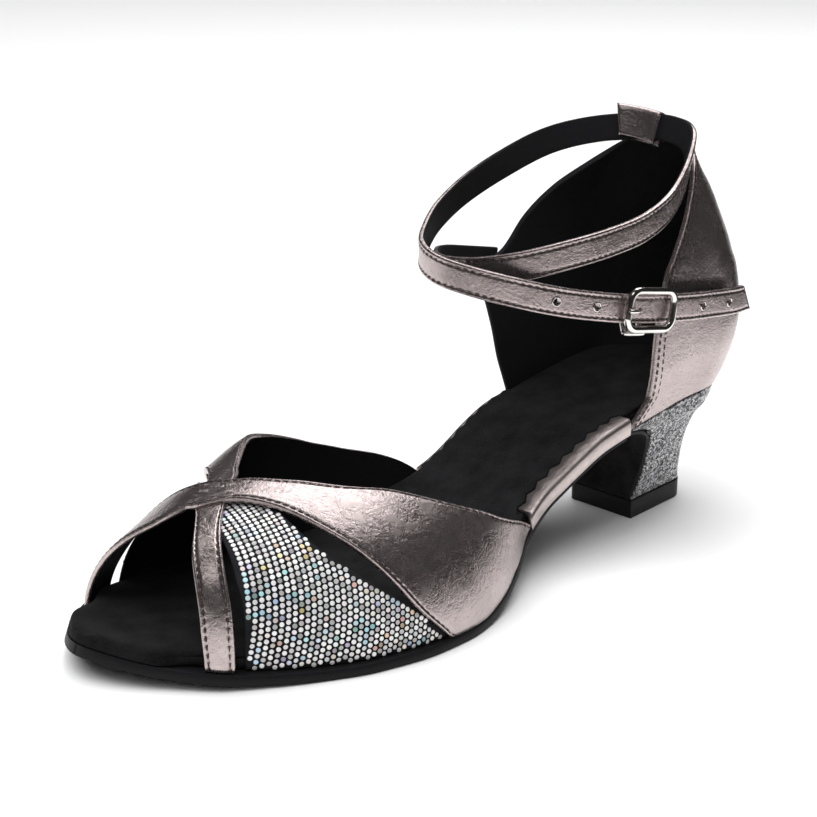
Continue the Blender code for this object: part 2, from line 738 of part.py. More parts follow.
def counter_point(up, turn):
    """Outer face: turn is 0 at the back seam, -1 at the lateral front edge, 1 at the medial."""
    back = counter["back"](up) * SOLE_LENGTH
    front = counter["medial" if turn > 0 else "lateral"](up) * SOLE_LENGTH
    half = counter["half"](up) * COUNTER_WIDTH
    depth = HEEL_ROUND * half / (COUNTER_WIDTH / 2)
    along = back + (front - back) * (1.0 - cos(abs(turn) * pi / 2))
    across = half * round_end(along - back, depth)
    seat = sole_top(max(along, 0.0)) + CLEARANCE
    height = seat + up * (SEAT_HEIGHT + COUNTER_HEIGHT - seat)
    return place(along, across if turn > 0 else -across, height)


def make_counter():
    turns = np.linspace(-1.0, 1.0, 2 * COUNTER_HALF_COLUMNS + 1)
    ups = np.linspace(0.0, 1.0, COUNTER_ROWS)
    vertices = [counter_point(float(up), float(turn)) for up in ups for turn in turns]
    cols = len(turns)
    faces = []
    for i in range(len(ups) - 1):
        for j in range(cols - 1):
            a = i * cols + j
            faces.append([a, a + cols, a + cols + 1, a + 1])
    obj = new_object("counter", vertices, faces, foil_leather("counter_leather"))
    wall = obj.modifiers.new("wall", "SOLIDIFY")
    wall.thickness = COUNTER_WALL
    wall.offset = -1.0


# Ankle strap
STRAP_STEPS = 130
EYELET_POINTS = 10
TAIL_RINGS = 4
lean = columns(LEAN)


def route_frames():
    """Centre, direction, outward and upward unit vectors along the ankle strap."""
    points = [
        place(p.along * SOLE_LENGTH, p.across * COUNTER_WIDTH, p.up * COUNTER_TOP) for p in ANKLE_ROUTE
    ]
    line = spline(points, STRAP_STEPS)
    axis = place(0.23 * SOLE_LENGTH, 0.0, 0.0)
    frames = []
    for i, point in enumerate(line):
        ahead = (line[min(i + 1, len(line) - 1)] - line[max(i - 1, 0)]).normalized()
        level = Vector((ahead.x, ahead.y, 0.0)).normalized()
        outward = Vector((level.y, -level.x, 0.0))
        if outward.dot(point - axis) < 0:
            outward.negate()
        upward = ahead.cross(outward).normalized()
        if upward.z < 0:
            upward.negate()
        tilt = radians(lean["lean"](i / (len(line) - 1)))
        leaned = outward * cos(tilt) - upward * sin(tilt)
        frames.append((point, ahead, leaned, upward * cos(tilt) + outward * sin(tilt)))
    return frames


def frame_at(frames, share):
    return frames[round(share * (len(frames) - 1))]


def make_ankle_strap(frames):
    rings = []
    for i, (point, ahead, outward, upward) in enumerate(frames):
        out = outward * (ANKLE_THICKNESS / 2)
        slant = max(1.0 - (len(frames) - 1 - i) / TAIL_RINGS, 0.0) * TAIL_SLANT
        tall = upward * (ANKLE_WIDTH / 2) - ahead * (slant / 2)
        rings.append([point + out - tall, point + out + tall, point - out + tall, point - out - tall])
    strap = loft("ankle_strap", rings, foil_leather("strap_leather"))
    for i, share in enumerate(HOLES):
        point, ahead, outward, upward = frame_at(frames, share)
        turned = Matrix((ahead, upward, outward)).transposed().to_4x4() @ Matrix.Rotation(DRILL_TURN, 4, "Z")
        bpy.ops.mesh.primitive_cylinder_add(vertices=12, radius=HOLE_DIAMETER / 2, depth=ANKLE_THICKNESS * 3)
        drill = bpy.context.object
        drill.name = f"strap_drill_{i}"
        drill.matrix_world = Matrix.Translation(point) @ turned
        drill.hide_render = True
        drill.display_type = "WIRE"
        for group in list(drill.users_collection):
            group.objects.unlink(drill)
        helpers.objects.link(drill)
        cut = strap.modifiers.new(f"hole_{i}", "BOOLEAN")
        cut.operation = "DIFFERENCE"
        cut.object = drill
        make_eyelet(f"strap_eyelet_{i}", point + outward * (ANKLE_THICKNESS / 2), ahead, outward, upward)


def make_eyelet(name, centre, ahead, outward, upward):
    middle = centre + outward * (EYELET_RIM / 2 + EYELET_GAP)
    ring = HOLE_DIAMETER / 2 + EYELET_RIM / 2
    points = []
    for k in range(EYELET_POINTS):
        turn = 2 * pi * k / EYELET_POINTS
        points.append(middle + (ahead * cos(turn) + upward * sin(turn)) * ring)
    tube(name, points, EYELET_RIM, nickel(name + "_nickel"), cyclic=True, rounding=1)


# Back loop: a leather tab folded over the strap, hung from the counter's top edge
def make_back_loop(frames):
    inner = ANKLE_THICKNESS / 2 + CLEARANCE
    top = ANKLE_WIDTH / 2 + CLEARANCE * 2
    fold = CLEARANCE * 1.3
    outer_low = -ANKLE_WIDTH / 2 + CLEARANCE
    inside = [
        (inner, outer_low),
        (inner, top - fold),
        (inner - fold, top),
        (-inner + fold, top),
        (-inner, top - fold),
        (-inner, top - LOOP_INNER_DROP),
    ]
    outside = []
    for out, up in inside:
        sign = 1 if out > 0 else -1
        outside.append((out + LOOP_LEATHER * sign, up + (LOOP_LEATHER if up > top - 2 * fold else 0.0)))
    section = inside + outside[::-1]
    step = (frames[1][0] - frames[0][0]).length
    reach = round(LOOP_WIDTH / 2 / step)
    centre = round(LOOP_SHARE * (len(frames) - 1))
    rings = []
    for point, ahead, outward, upward in frames[centre - reach:centre + reach + 1]:
        rings.append([point + outward * out + upward * up for out, up in section])
    loft("back_loop", rings, foil_leather("loop_leather"))


# Buckle
def make_buckle(frames):
    point, ahead, outward, upward = frame_at(frames, BUCKLE_SHARE)
    metal = nickel("buckle_nickel")
    plane = outward * (ANKLE_THICKNESS / 2 + CLEARANCE + BUCKLE_WIRE / 2)
    half_long = BUCKLE_LENGTH / 2 - BUCKLE_WIRE / 2
    half_tall = ANKLE_WIDTH / 2 + CLEARANCE + BUCKLE_WIRE / 2
    outline = []
    for sx, sy, start in ((1, 1, 0), (-1, 1, 90), (-1, -1, 180), (1, -1, 270)):
        for step in range(6):
            turn = radians(start + 18 * step)
            u = sx * (half_long - BUCKLE_CORNER) + BUCKLE_CORNER * cos(turn)
            v = sy * (half_tall - BUCKLE_CORNER) + BUCKLE_CORNER * sin(turn)
            outline.append(point + plane + ahead * u + upward * v)
    tube("buckle_frame", outline, BUCKLE_WIRE, metal, cyclic=True)
    over = BUCKLE_WIRE / 2 + CLEARANCE + PRONG_WIRE / 2
    rise = [(0.44, -0.10), (0.62, 0.30), (0.82, 0.88), (1.0, 1.0), (1.17, 0.88)]
    prong = [point + plane - ahead * (half_long * u) + outward * (over * o) for u, o in rise]
    tube("buckle_prong", spline(prong, 12), PRONG_WIRE, nickel("prong_nickel"))
    behind = ANKLE_THICKNESS / 2 + CLEARANCE + HOOK_WIRE / 2
    reach = half_tall + BUCKLE_WIRE / 2 + HOOK_WIRE / 4
    base = point - ahead * (half_long * HOOK_SHARE)
    side = [(-behind, 0.2), (-behind, 0.65), (-behind * 0.5, 0.95), (0.0, 1.0)]
    hook = [base - ahead * (HOOK_LENGTH / 2) + outward * o - upward * (reach * u) for o, u in side]
    hook += [base + ahead * (HOOK_LENGTH / 2) + outward * o - upward * (reach * u) for o, u in reversed(side)]
    tube("buckle_hook", spline(hook, 22), HOOK_WIRE, nickel("hook_nickel"))
    make_tab(frames, behind + HOOK_WIRE / 2 + CLEARANCE + TAB_THICKNESS / 2)


def make_tab(frames, behind):
    """Leather strip that lies on the outside of the counter and holds the hook at its front."""
    widest = max(row.half for row in COUNTER) * COUNTER_WIDTH
    seam = widest + CLEARANCE + TAB_THICKNESS / 2
    rings = []
    for share in TAB_PLACES:
        point, ahead, outward, upward = frame_at(frames, share)
        held = point - outward * behind
        t = min(max((share - TAB_PLACES[0]) / (TAB_PLACES[2] - TAB_PLACES[0]), 0.0), 1.0)
        centre = Vector((held.x, held.y + (-seam - held.y) * t, held.z))
        out = Vector((0.0, -TAB_THICKNESS / 2, 0.0))
        tall = upward * (TAB_WIDTH / 2)
        rings.append([centre + out - tall, centre + out + tall, centre - out + tall, centre - out - tall])
    loft("buckle_tab", rings, foil_leather("tab_leather"))


def build_shoe():
    make_outsole()
    make_heel()
    make_board()
    make_sock()
    make_wrap("waist_wrap_lateral", -1, WRAP_FLANGE, 0.0, STRAP_OVER[0].rear_along * SOLE_LENGTH)
    make_wrap("waist_wrap_medial", 1, 0.0, *medial_stops())
    make_vamp()
    make_counter()
    frames = route_frames()
    make_ankle_strap(frames)
    make_back_loop(frames)
    make_buckle(frames)


shoe = bpy.data.collections.new("ballroom_dance_shoe")
helpers = bpy.data.collections.new("cutters")
bpy.context.scene.collection.children.link(shoe)
bpy.context.scene.collection.children.link(helpers)
build_shoe()
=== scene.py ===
from math import cos, pi, radians, sin

import bpy
import numpy as np
from mathutils import Euler, Matrix, Vector, noise


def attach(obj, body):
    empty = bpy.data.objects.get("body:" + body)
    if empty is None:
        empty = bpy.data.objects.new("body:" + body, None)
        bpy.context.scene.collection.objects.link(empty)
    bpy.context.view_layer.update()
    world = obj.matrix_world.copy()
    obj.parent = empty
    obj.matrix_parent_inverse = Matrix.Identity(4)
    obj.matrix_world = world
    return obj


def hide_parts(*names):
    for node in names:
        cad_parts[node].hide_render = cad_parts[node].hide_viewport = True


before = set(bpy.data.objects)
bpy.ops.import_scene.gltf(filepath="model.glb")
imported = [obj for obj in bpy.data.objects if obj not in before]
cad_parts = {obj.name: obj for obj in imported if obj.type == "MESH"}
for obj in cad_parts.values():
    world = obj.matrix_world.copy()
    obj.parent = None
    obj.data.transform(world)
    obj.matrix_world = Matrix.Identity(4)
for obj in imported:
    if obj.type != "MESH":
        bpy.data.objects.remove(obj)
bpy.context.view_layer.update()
mm = 0.001

# Sizes of the whole shoe, as in the solids
shoe = {
    "soleLength": 238.0 * mm,
    "ballWidth": 83.6 * mm,
    "seatHeight": 42.5 * mm,
    "toeSpring": 5.9 * mm,
    "instepHeight": 46.0 * mm,
    "heelCentre": 28.0 * mm,
    "liftHeight": 6.3 * mm,
    "clearance": 0.3 * mm,
    "soleThickness": 3.0 * mm,
    "waistThickness": 2.2 * mm,
    "edgeLedge": 3.4 * mm,
    "toeLedge": 0.3 * mm,
    "toeBlendStart": 0.921,
    "toeBlendEnd": 0.950,
    "heelRound": 26.0 * mm,
    "toeRound": 15.0 * mm,
    "boardThickness": 2.8 * mm,
    "sockThickness": 1.0 * mm,
    "panelThickness": 0.9 * mm,
}
clear = shoe["clearance"]

# Plan: share of the length, then middle and half width as shares of the ball width
planRows = [
    (0.00, 0.000, 0.305),
    (0.12, 0.000, 0.308),
    (0.20, 0.000, 0.311),
    (0.27, 0.000, 0.311),
    (0.33, 0.006, 0.308),
    (0.39, 0.008, 0.300),
    (0.44, 0.004, 0.326),
    (0.50, -0.016, 0.402),
    (0.56, -0.038, 0.458),
    (0.62, -0.054, 0.488),
    (0.68, -0.051, 0.500),
    (0.75, -0.024, 0.496),
    (0.82, 0.024, 0.466),
    (0.90, 0.076, 0.392),
    (0.95, 0.087, 0.262),
    (1.00, 0.094, 0.160),
]
# Side profile: share of the length, share of the seat's rise, share of the toe spring
profileRows = [
    (0.000, 1.000, 0.00),
    (0.084, 0.990, 0.00),
    (0.143, 0.955, 0.00),
    (0.185, 0.910, 0.00),
    (0.218, 0.870, 0.00),
    (0.252, 0.825, 0.00),
    (0.294, 0.762, 0.00),
    (0.336, 0.645, 0.00),
    (0.378, 0.505, 0.00),
    (0.420, 0.372, 0.00),
    (0.480, 0.210, 0.00),
    (0.540, 0.068, 0.00),
    (0.590, 0.008, 0.00),
    (0.630, 0.000, 0.00),
    (0.790, 0.000, 0.00),
    (0.880, 0.000, 0.17),
    (0.950, 0.000, 0.50),
    (1.000, 0.000, 1.05),
]


# Curves through short tables
# A function through the values that doesn't overshoot them.
def smoothColumn(places, values):
    places = np.array(places, float)
    values = np.array(values, float)
    step = np.diff(places)
    slope = np.diff(values) / step
    tangent = np.zeros(len(places))
    tangent[0] = slope[0]
    tangent[-1] = slope[-1]
    for i in range(1, len(places) - 1):
        if slope[i - 1] * slope[i] > 0:
            before = 2 * step[i] + step[i - 1]
            after = step[i] + 2 * step[i - 1]
            tangent[i] = (before + after) / (before / slope[i - 1] + after / slope[i])

    def at(place):
        place = np.asarray(place, float)
        i = np.clip(np.searchsorted(places, place) - 1, 0, len(step) - 1)
        t = np.clip((place - places[i]) / step[i], 0.0, 1.0)
        start = values[i] * (1 + 2 * t) * (1 - t) ** 2 + step[i] * tangent[i] * t * (1 - t) ** 2
        end = values[i + 1] * t * t * (3 - 2 * t) + step[i] * tangent[i + 1] * t * t * (t - 1)
        return start + end

    return at


def columnsOf(rows):
    table = np.array(rows, float)
    return [smoothColumn(table[:, 0], table[:, k]) for k in range(1, table.shape[1])]


# Evenly spaced points on a smooth curve through the given points.
def spline(points, count):
    points = np.array(points, float)
    ends = np.vstack([2 * points[0] - points[1], points, 2 * points[-1] - points[-2]])
    t = np.linspace(0.0, 1.0, 24, endpoint=False)[:, None]
    fine = []
    for i in range(1, len(ends) - 2):
        a, b, c, d = ends[i - 1:i + 3]
        fine.append(
            0.5 * (2 * b + (c - a) * t + (2 * a - 5 * b + 4 * c - d) * t**2 + (3 * b - a - 3 * c + d) * t**3)
        )
    fine = np.vstack([*fine, points[-1:]])
    run = np.concatenate([[0.0], np.cumsum(np.linalg.norm(np.diff(fine, axis=0), axis=1))])
    wanted = np.linspace(0.0, run[-1], count)
    return np.stack([np.interp(wanted, run, fine[:, k]) for k in range(fine.shape[1])], axis=1)


def unit(v):
    return v / np.maximum(np.linalg.norm(v, axis=-1, keepdims=True), 1e-12)


def roundEnd(distance, radius):
    return np.sqrt(1.0 - (1.0 - np.clip(distance / radius, 0.0, 1.0)) ** 2)


planMiddle, planHalf = columnsOf(planRows)
profileArch, profileSpring = columnsOf(profileRows)


# The sole's plan and profile
def halfWidth(along, inset):
    length = shoe["soleLength"] - 2 * inset
    share = np.clip((along - inset) / length, 0.0, 1.0)
    half = planHalf(share) * shoe["ballWidth"] - inset
    ends = roundEnd(share * length, shoe["heelRound"] - inset)
    ends = ends * roundEnd((1 - share) * length, shoe["toeRound"])
    return planMiddle(share) * shoe["ballWidth"], half * ends


def soleTop(along):
    share = along / shoe["soleLength"]
    rise = profileArch(share) * (shoe["seatHeight"] - shoe["soleThickness"])
    return shoe["soleThickness"] + rise + profileSpring(share) * shoe["toeSpring"]


def boardTop(along):
    return soleTop(along) + clear + shoe["boardThickness"]


def boardInset(along):
    share = along / shoe["soleLength"] - shoe["toeBlendStart"]
    share = np.clip(share / (shoe["toeBlendEnd"] - shoe["toeBlendStart"]), 0.0, 1.0)
    return shoe["edgeLedge"] + (shoe["toeLedge"] - shoe["edgeLedge"]) * share


def place(along, across, height):
    return np.stack(np.broadcast_arrays(shoe["heelCentre"] - along, across, height), axis=-1)


def stations(start, end, count, ends=(True, True)):
    low = -pi / 2 if ends[0] else 0.0
    high = pi / 2 if ends[1] else 0.0
    shares = np.sin(np.linspace(low, high, count))
    shares = (shares - shares[0]) / (shares[-1] - shares[0])
    return start + (end - start) * shares


# Meshes
# Distance from an edge in mm that counts as nowhere near it
farFromEdge = 9.0


# A mesh with one UV per vertex and any number of named float values per vertex.
def meshObject(name, vertices, faces, materials, faceMaterial=None, uv=None, values=None):
    mesh = bpy.data.meshes.new(name)
    mesh.from_pydata([tuple(v) for v in vertices], [], faces)
    for material in materials:
        mesh.materials.append(material)
    if faceMaterial is not None:
        mesh.polygons.foreach_set("material_index", np.array(faceMaterial, np.int32))
    if uv is not None:
        layer = mesh.uv_layers.new(name="cut")
        corners = np.empty(len(mesh.loops), np.int32)
        mesh.loops.foreach_get("vertex_index", corners)
        layer.data.foreach_set("uv", np.array(uv, float)[corners].reshape(-1))
    for label, numbers in (values or {}).items():
        attribute = mesh.attributes.new(label, "FLOAT", "POINT")
        attribute.data.foreach_set("value", np.array(numbers, float))
    mesh.shade_smooth()
    mesh.update()
    obj = bpy.data.objects.new(name, mesh)
    bpy.context.scene.collection.objects.link(obj)
    return obj


# A closed sheet between two grids; its outside has the first material, its inside the last.
def slab(name, outer, inner, materials, edge=None):
    rows, cols = outer.shape[:2]
    along = np.linalg.norm(np.diff(outer, axis=0), axis=2).mean(axis=1)
    across = np.linalg.norm(np.diff(outer, axis=1), axis=2)
    u = np.repeat(np.concatenate([[0.0], np.cumsum(along)])[:, None], cols, axis=1)
    v = np.concatenate([np.zeros((rows, 1)), np.cumsum(across, axis=1)], axis=1)
    v = v - v.mean(axis=1, keepdims=True)
    uv = np.stack([u, v], axis=-1).reshape(-1, 2)
    if edge is None:
        edge = np.full((rows, cols), farFromEdge)
    vertices = np.concatenate([outer.reshape(-1, 3), inner.reshape(-1, 3)])
    under = rows * cols
    a = (np.arange(rows - 1)[:, None] * cols + np.arange(cols - 1)[None, :]).reshape(-1)
    top = np.stack([a, a + 1, a + cols + 1, a + cols], axis=1)
    bottom = top[:, ::-1] + under
    rim = np.concatenate([
        np.arange(cols),
        np.arange(1, rows) * cols + cols - 1,
        (rows - 1) * cols + np.arange(cols - 2, -1, -1),
        np.arange(rows - 2, 0, -1) * cols,
    ])
    following = np.roll(rim, -1)
    wall = np.stack([rim, rim + under, following + under, following], axis=1)
    faces = np.concatenate([top, bottom, wall])
    last = len(materials) - 1
    slots = np.concatenate([np.zeros(len(top)), np.full(len(bottom), last), np.zeros(len(wall))])
    values = {"edge": np.concatenate([edge.reshape(-1)] * 2)}
    obj = meshObject(name, vertices, faces.tolist(), materials, slots, np.concatenate([uv, uv]), values)
    faceOutward(obj)
    return obj


# Turns a closed mesh the right way out by the sign of its volume.
def faceOutward(obj):
    mesh = obj.data
    mesh.calc_loop_triangles()
    points = np.array([v.co for v in mesh.vertices])
    corners = np.empty(len(mesh.loop_triangles) * 3, np.int32)
    mesh.loop_triangles.foreach_get("vertices", corners)
    a, b, c = points[corners.reshape(-1, 3)].transpose(1, 0, 2)
    if np.einsum("ij,ij->i", a, np.cross(b, c)).sum() < 0:
        mesh.flip_normals()


# Quads between rings of points; in a cyclic row the last ring joins the first.
def ringQuads(count, size, cyclic=False):
    steps = np.arange(count if cyclic else count - 1)[:, None]
    a = steps * size
    b = (steps + 1) % count * size
    j = np.arange(size)[None, :]
    k = (j + 1) % size
    return np.stack(np.broadcast_arrays(a + j, a + k, b + k, b + j), axis=-1).reshape(-1, 4)


# A closed solid through rings of the same number of points, with flat ends.
def loft(name, rings, materials, slotOf=None, edge=None):
    rings = np.array(rings)
    count, size = rings.shape[:2]
    steps = np.linalg.norm(np.diff(rings, axis=0), axis=2).mean(axis=1)
    run = np.concatenate([[0.0], np.cumsum(steps)])
    around = np.linalg.norm(rings - np.roll(rings, 1, axis=1), axis=2)
    turn = np.cumsum(around, axis=1)
    uv = np.stack([np.repeat(run[:, None], size, axis=1), turn], axis=-1).reshape(-1, 2)
    ends = [list(range(size))[::-1], list(range((count - 1) * size, count * size))]
    faces = ringQuads(count, size).tolist() + ends
    slots = None
    if slotOf is not None:
        slots = np.concatenate([np.tile(slotOf, count - 1), [0, 0]])
    values = {"edge": np.full(count * size, farFromEdge) if edge is None else np.tile(edge, count)}
    obj = meshObject(name, rings.reshape(-1, 3), faces, materials, slots, uv, values)
    faceOutward(obj)
    return obj


# A round wire along points; radius is one number or one for each point.
def tube(name, points, radius, materials, cyclic=False, sides=14):
    points = np.array(points)
    count = len(points)
    if cyclic:
        ahead = unit(np.roll(points, -1, axis=0) - np.roll(points, 1, axis=0))
    else:
        ahead = unit(np.gradient(points, axis=0))
    guide = np.array([0.0, 0.0, 1.0])
    side = unit(np.cross(ahead, guide))
    for i in range(count):
        if abs(ahead[i] @ guide) > 0.9:
            before = side[i - 1]
            side[i] = unit(before - ahead[i] * (before @ ahead[i]))
        elif i and side[i] @ side[i - 1] < 0:
            side[i] = -side[i]
    third = np.cross(side, ahead)
    turns = np.linspace(0.0, 2 * pi, sides, endpoint=False)
    wide = np.broadcast_to(np.asarray(radius, float), (count,))[:, None, None]
    rings = points[:, None, :] + wide * (
        side[:, None, :] * np.cos(turns)[None, :, None] + third[:, None, :] * np.sin(turns)[None, :, None]
    )
    if not cyclic:
        return loft(name, rings, materials)
    faces = ringQuads(count, sides, cyclic=True).tolist()
    obj = meshObject(name, rings.reshape(-1, 3), faces, materials)
    faceOutward(obj)
    return obj


# Smooth random numbers from -1 to 1, one for each point, with lumps of the given size.
def wobble(points, size, seed):
    flat = np.array(points).reshape(-1, 3) / size + seed
    return np.array([noise.noise(Vector(p)) for p in flat]).reshape(np.array(points).shape[:-1])


# Shader helpers
def newMaterial(name):
    material = bpy.data.materials.new(name)
    material.use_nodes = True
    tree = material.node_tree
    return material, tree, tree.nodes["Principled BSDF"]


def newGroup(name, kind, inputs, outputs):
    tree = bpy.data.node_groups.new(name, kind)
    for label, sort, value in inputs:
        socket = tree.interface.new_socket(label, in_out="INPUT", socket_type=sort)
        if value is not None:
            socket.default_value = value
    for label, sort in outputs:
        tree.interface.new_socket(label, in_out="OUTPUT", socket_type=sort)
    return tree, tree.nodes.new("NodeGroupInput"), tree.nodes.new("NodeGroupOutput")


# Adds a node; inputs holds numbers for its sockets, or the sockets that feed them.
def addNode(tree, kind, inputs=None, **settings):
    node = tree.nodes.new(kind)
    for key, value in settings.items():
        setattr(node, key, value)
    for key, value in (inputs or {}).items():
        if isinstance(value, bpy.types.NodeSocket):
            tree.links.new(value, node.inputs[key])
        else:
            node.inputs[key].default_value = value
    return node


def addMath(tree, operation, first, second=0.0, third=0.0):
    node = addNode(tree, "ShaderNodeMath", {0: first, 1: second, 2: third}, operation=operation)
    return node.outputs[0]


def addRamp(tree, factor, stops):
    ramp = addNode(tree, "ShaderNodeValToRGB", {"Fac": factor})
    elements = ramp.color_ramp.elements
    while len(elements) < len(stops):
        elements.new(0.5)
    for element, (position, colour) in zip(elements, stops):
        element.position = position
        element.color = (*colour, 1.0)
    return ramp.outputs["Color"]


# Noise in the piece's own coordinates.
def addNoise(tree, scale, detail, **more):
    where = addNode(tree, "ShaderNodeTexCoord").outputs["Object"]
    return addNode(tree, "ShaderNodeTexNoise", {"Vector": where, "Scale": scale, "Detail": detail, **more})


def addBump(tree, shader, height, strength, distance):
    bump = addNode(tree, "ShaderNodeBump", {"Height": height, "Strength": strength, "Distance": distance})
    tree.links.new(bump.outputs[0], shader.inputs["Normal"])


def setInputs(shader, values):
    for name, value in values.items():
        shader.inputs[name].default_value = value


# How far noise stands from its middle level: zero along the lines of creases.
def addRidge(tree, source):
    return addMath(tree, "ABSOLUTE", addMath(tree, "SUBTRACT", source.outputs["Fac"], 0.5))


# Pebbled grain and soft creases: Height for a bump, Tone for colour and roughness.
def makeGrainGroup():
    tree, into, out = newGroup(
        "softGrain",
        "ShaderNodeTree",
        [
            ("Pebble", "NodeSocketFloat", 1500.0),
            ("Crease", "NodeSocketFloat", 160.0),
            ("Creasing", "NodeSocketFloat", 0.5),
        ],
        [("Height", "NodeSocketFloat"), ("Tone", "NodeSocketFloat")],
    )
    where = addNode(tree, "ShaderNodeTexCoord").outputs["Object"]
    bent = addNoise(tree, 420.0, 2.0).outputs["Color"]
    shift = addNode(tree, "ShaderNodeVectorMath", {0: bent, "Scale": 0.6 * mm}, operation="SCALE")
    moved = addNode(tree, "ShaderNodeVectorMath", {0: where, 1: shift.outputs[0]}, operation="ADD")
    cells = {"Vector": moved.outputs[0], "Scale": into.outputs["Pebble"], "Smoothness": 0.6}
    pebble = addNode(tree, "ShaderNodeTexVoronoi", cells, feature="SMOOTH_F1")
    crease = addNoise(tree, into.outputs["Crease"], 4.0, Roughness=0.6, Distortion=0.8)
    ridge = addMath(tree, "SMOOTH_MIN", addRidge(tree, crease), 0.08, 0.05)
    tall = addMath(tree, "MULTIPLY", ridge, into.outputs["Creasing"])
    tall = addMath(tree, "MULTIPLY", tall, 9.0)
    fineScale = addMath(tree, "MULTIPLY", into.outputs["Pebble"], 0.42)
    fine = addNoise(tree, fineScale, 5.0, Roughness=0.68, Distortion=0.35)
    tall = addMath(tree, "MULTIPLY_ADD", addRidge(tree, fine), 4.2, tall)
    height = addMath(tree, "SUBTRACT", tall, addMath(tree, "MULTIPLY", pebble.outputs["Distance"], 0.5))
    tree.links.new(height, out.inputs["Height"])
    tree.links.new(crease.outputs["Fac"], out.inputs["Tone"])
    return tree


# A folded hem by the distance from the edge in mm: Height of its groove, and painted shade that darkens the
# groove.
def makeHemGroup():
    tree, into, out = newGroup(
        "foldedHem",
        "ShaderNodeTree",
        [("Stitch Line", "NodeSocketFloat", 1.25), ("Pitch", "NodeSocketFloat", 0.0023)],
        [("Height", "NodeSocketFloat"), ("Groove Shade", "NodeSocketFloat")],
    )
    edge = addNode(tree, "ShaderNodeAttribute", attribute_name="edge").outputs["Fac"]
    cut = addNode(tree, "ShaderNodeUVMap", uv_map="cut").outputs[0]
    u = addNode(tree, "ShaderNodeSeparateXYZ", {0: cut}).outputs["X"]
    off = addMath(tree, "SUBTRACT", edge, into.outputs["Stitch Line"])
    off = addMath(tree, "DIVIDE", off, 0.38)
    square = addMath(tree, "MULTIPLY", off, off)
    bell = addMath(tree, "EXPONENT", addMath(tree, "MULTIPLY", square, -1.0))
    phase = addMath(tree, "MULTIPLY", addMath(tree, "DIVIDE", u, into.outputs["Pitch"]), 2 * pi)
    wave = addMath(tree, "MULTIPLY_ADD", addMath(tree, "SINE", phase), 0.3, 0.7)
    deep = addMath(tree, "MULTIPLY", bell, wave)
    tree.links.new(addMath(tree, "MULTIPLY", deep, -1.0), out.inputs["Height"])
    tree.links.new(bell, out.inputs["Groove Shade"])
    return tree


grainGroup = makeGrainGroup()
hemGroup = makeHemGroup()


def addGroup(tree, group, inputs=None):
    node = tree.nodes.new("ShaderNodeGroup")
    node.node_tree = group
    for key, value in (inputs or {}).items():
        node.inputs[key].default_value = value
    return node


# Metallic leather: levels of its colour, painted shade in the stitch groove, the bump of grain and hem, and
# how the light spreads
foilFinish = {
    "light": (0.575, 0.492, 0.482),
    "darkShare": 0.78,
    "toneLevels": (0.3, 0.72),
    "grain": 0.22,
    "hem": 1.2,
    # Painted shade in the stitch groove: how strong it is, and its dark brown colour
    "hemShade": 0.3,
    "grooveShadeColour": (0.10, 0.075, 0.07, 1.0),
    "bump": 0.7,
    "depth": 0.34 * mm,
    "rough": 0.22,
    "roughSpread": 0.16,
    "metal": 0.94,
}


def foilLeather(name, pebble=1500.0, creasing=0.5, crease=160.0, light=None, hem=True, rough=None):
    material, tree, shader = newMaterial(name)
    grain = addGroup(tree, grainGroup, {"Pebble": pebble, "Crease": crease, "Creasing": creasing})
    light = light or foilFinish["light"]
    rough = rough or foilFinish["rough"]
    dark = tuple(c * foilFinish["darkShare"] for c in light)
    colour = addRamp(tree, grain.outputs["Tone"], list(zip(foilFinish["toneLevels"], (dark, light))))
    height = addMath(tree, "MULTIPLY", grain.outputs["Height"], foilFinish["grain"])
    if hem:
        fold = addGroup(tree, hemGroup)
        folded = addMath(tree, "MULTIPLY", fold.outputs["Height"], foilFinish["hem"])
        height = addMath(tree, "ADD", height, folded)
        # Painted shade: the colour darkens to dark brown along the stitch groove.
        shade = addMath(tree, "MULTIPLY", fold.outputs["Groove Shade"], foilFinish["hemShade"])
        parts = {0: shade, 6: colour, 7: foilFinish["grooveShadeColour"]}
        colour = addNode(tree, "ShaderNodeMix", parts, data_type="RGBA").outputs[2]
    addBump(tree, shader, height, foilFinish["bump"], foilFinish["depth"])
    spread = foilFinish["roughSpread"]
    roughness = addMath(tree, "MULTIPLY_ADD", grain.outputs["Tone"], spread, rough - spread / 4)
    tree.links.new(colour, shader.inputs["Base Color"])
    tree.links.new(roughness, shader.inputs["Roughness"])
    setInputs(shader, {"Metallic": foilFinish["metal"]})
    return material


def blackSuede(name, colour=(0.0072, 0.0072, 0.0078), nap=0.5):
    material, tree, shader = newMaterial(name)
    fine = addNoise(tree, 2600.0, 3.0).outputs["Fac"]
    broad = addNoise(tree, 130.0, 4.0).outputs["Fac"]
    blend = addMath(tree, "MULTIPLY_ADD", broad, 0.5, addMath(tree, "MULTIPLY", fine, 0.5))
    low = tuple(c * 0.6 for c in colour)
    high = tuple(c * 1.9 for c in colour)
    tree.links.new(addRamp(tree, blend, [(0.36, low), (0.64, high)]), shader.inputs["Base Color"])
    addBump(tree, shader, fine, nap, 0.2 * mm)
    setInputs(shader, {
        "Roughness": 0.95,
        "Specular IOR Level": 0.06,
        "Sheen Weight": 0.02,
        "Sheen Roughness": 0.6,
    })
    return material


def plain(name, colour, roughness, specular=0.5):
    material, tree, shader = newMaterial(name)
    finish = {"Base Color": (*colour, 1.0), "Roughness": roughness, "Specular IOR Level": specular}
    setInputs(shader, finish)
    return material


def blackLining(name):
    material = plain(name, (0.0125, 0.0125, 0.0138), 0.72, 0.1)
    tree = material.node_tree
    grain = addGroup(tree, grainGroup, {"Pebble": 1900.0, "Creasing": 0.3})
    addBump(tree, tree.nodes["Principled BSDF"], grain.outputs["Height"], 0.4, 0.2 * mm)
    return material


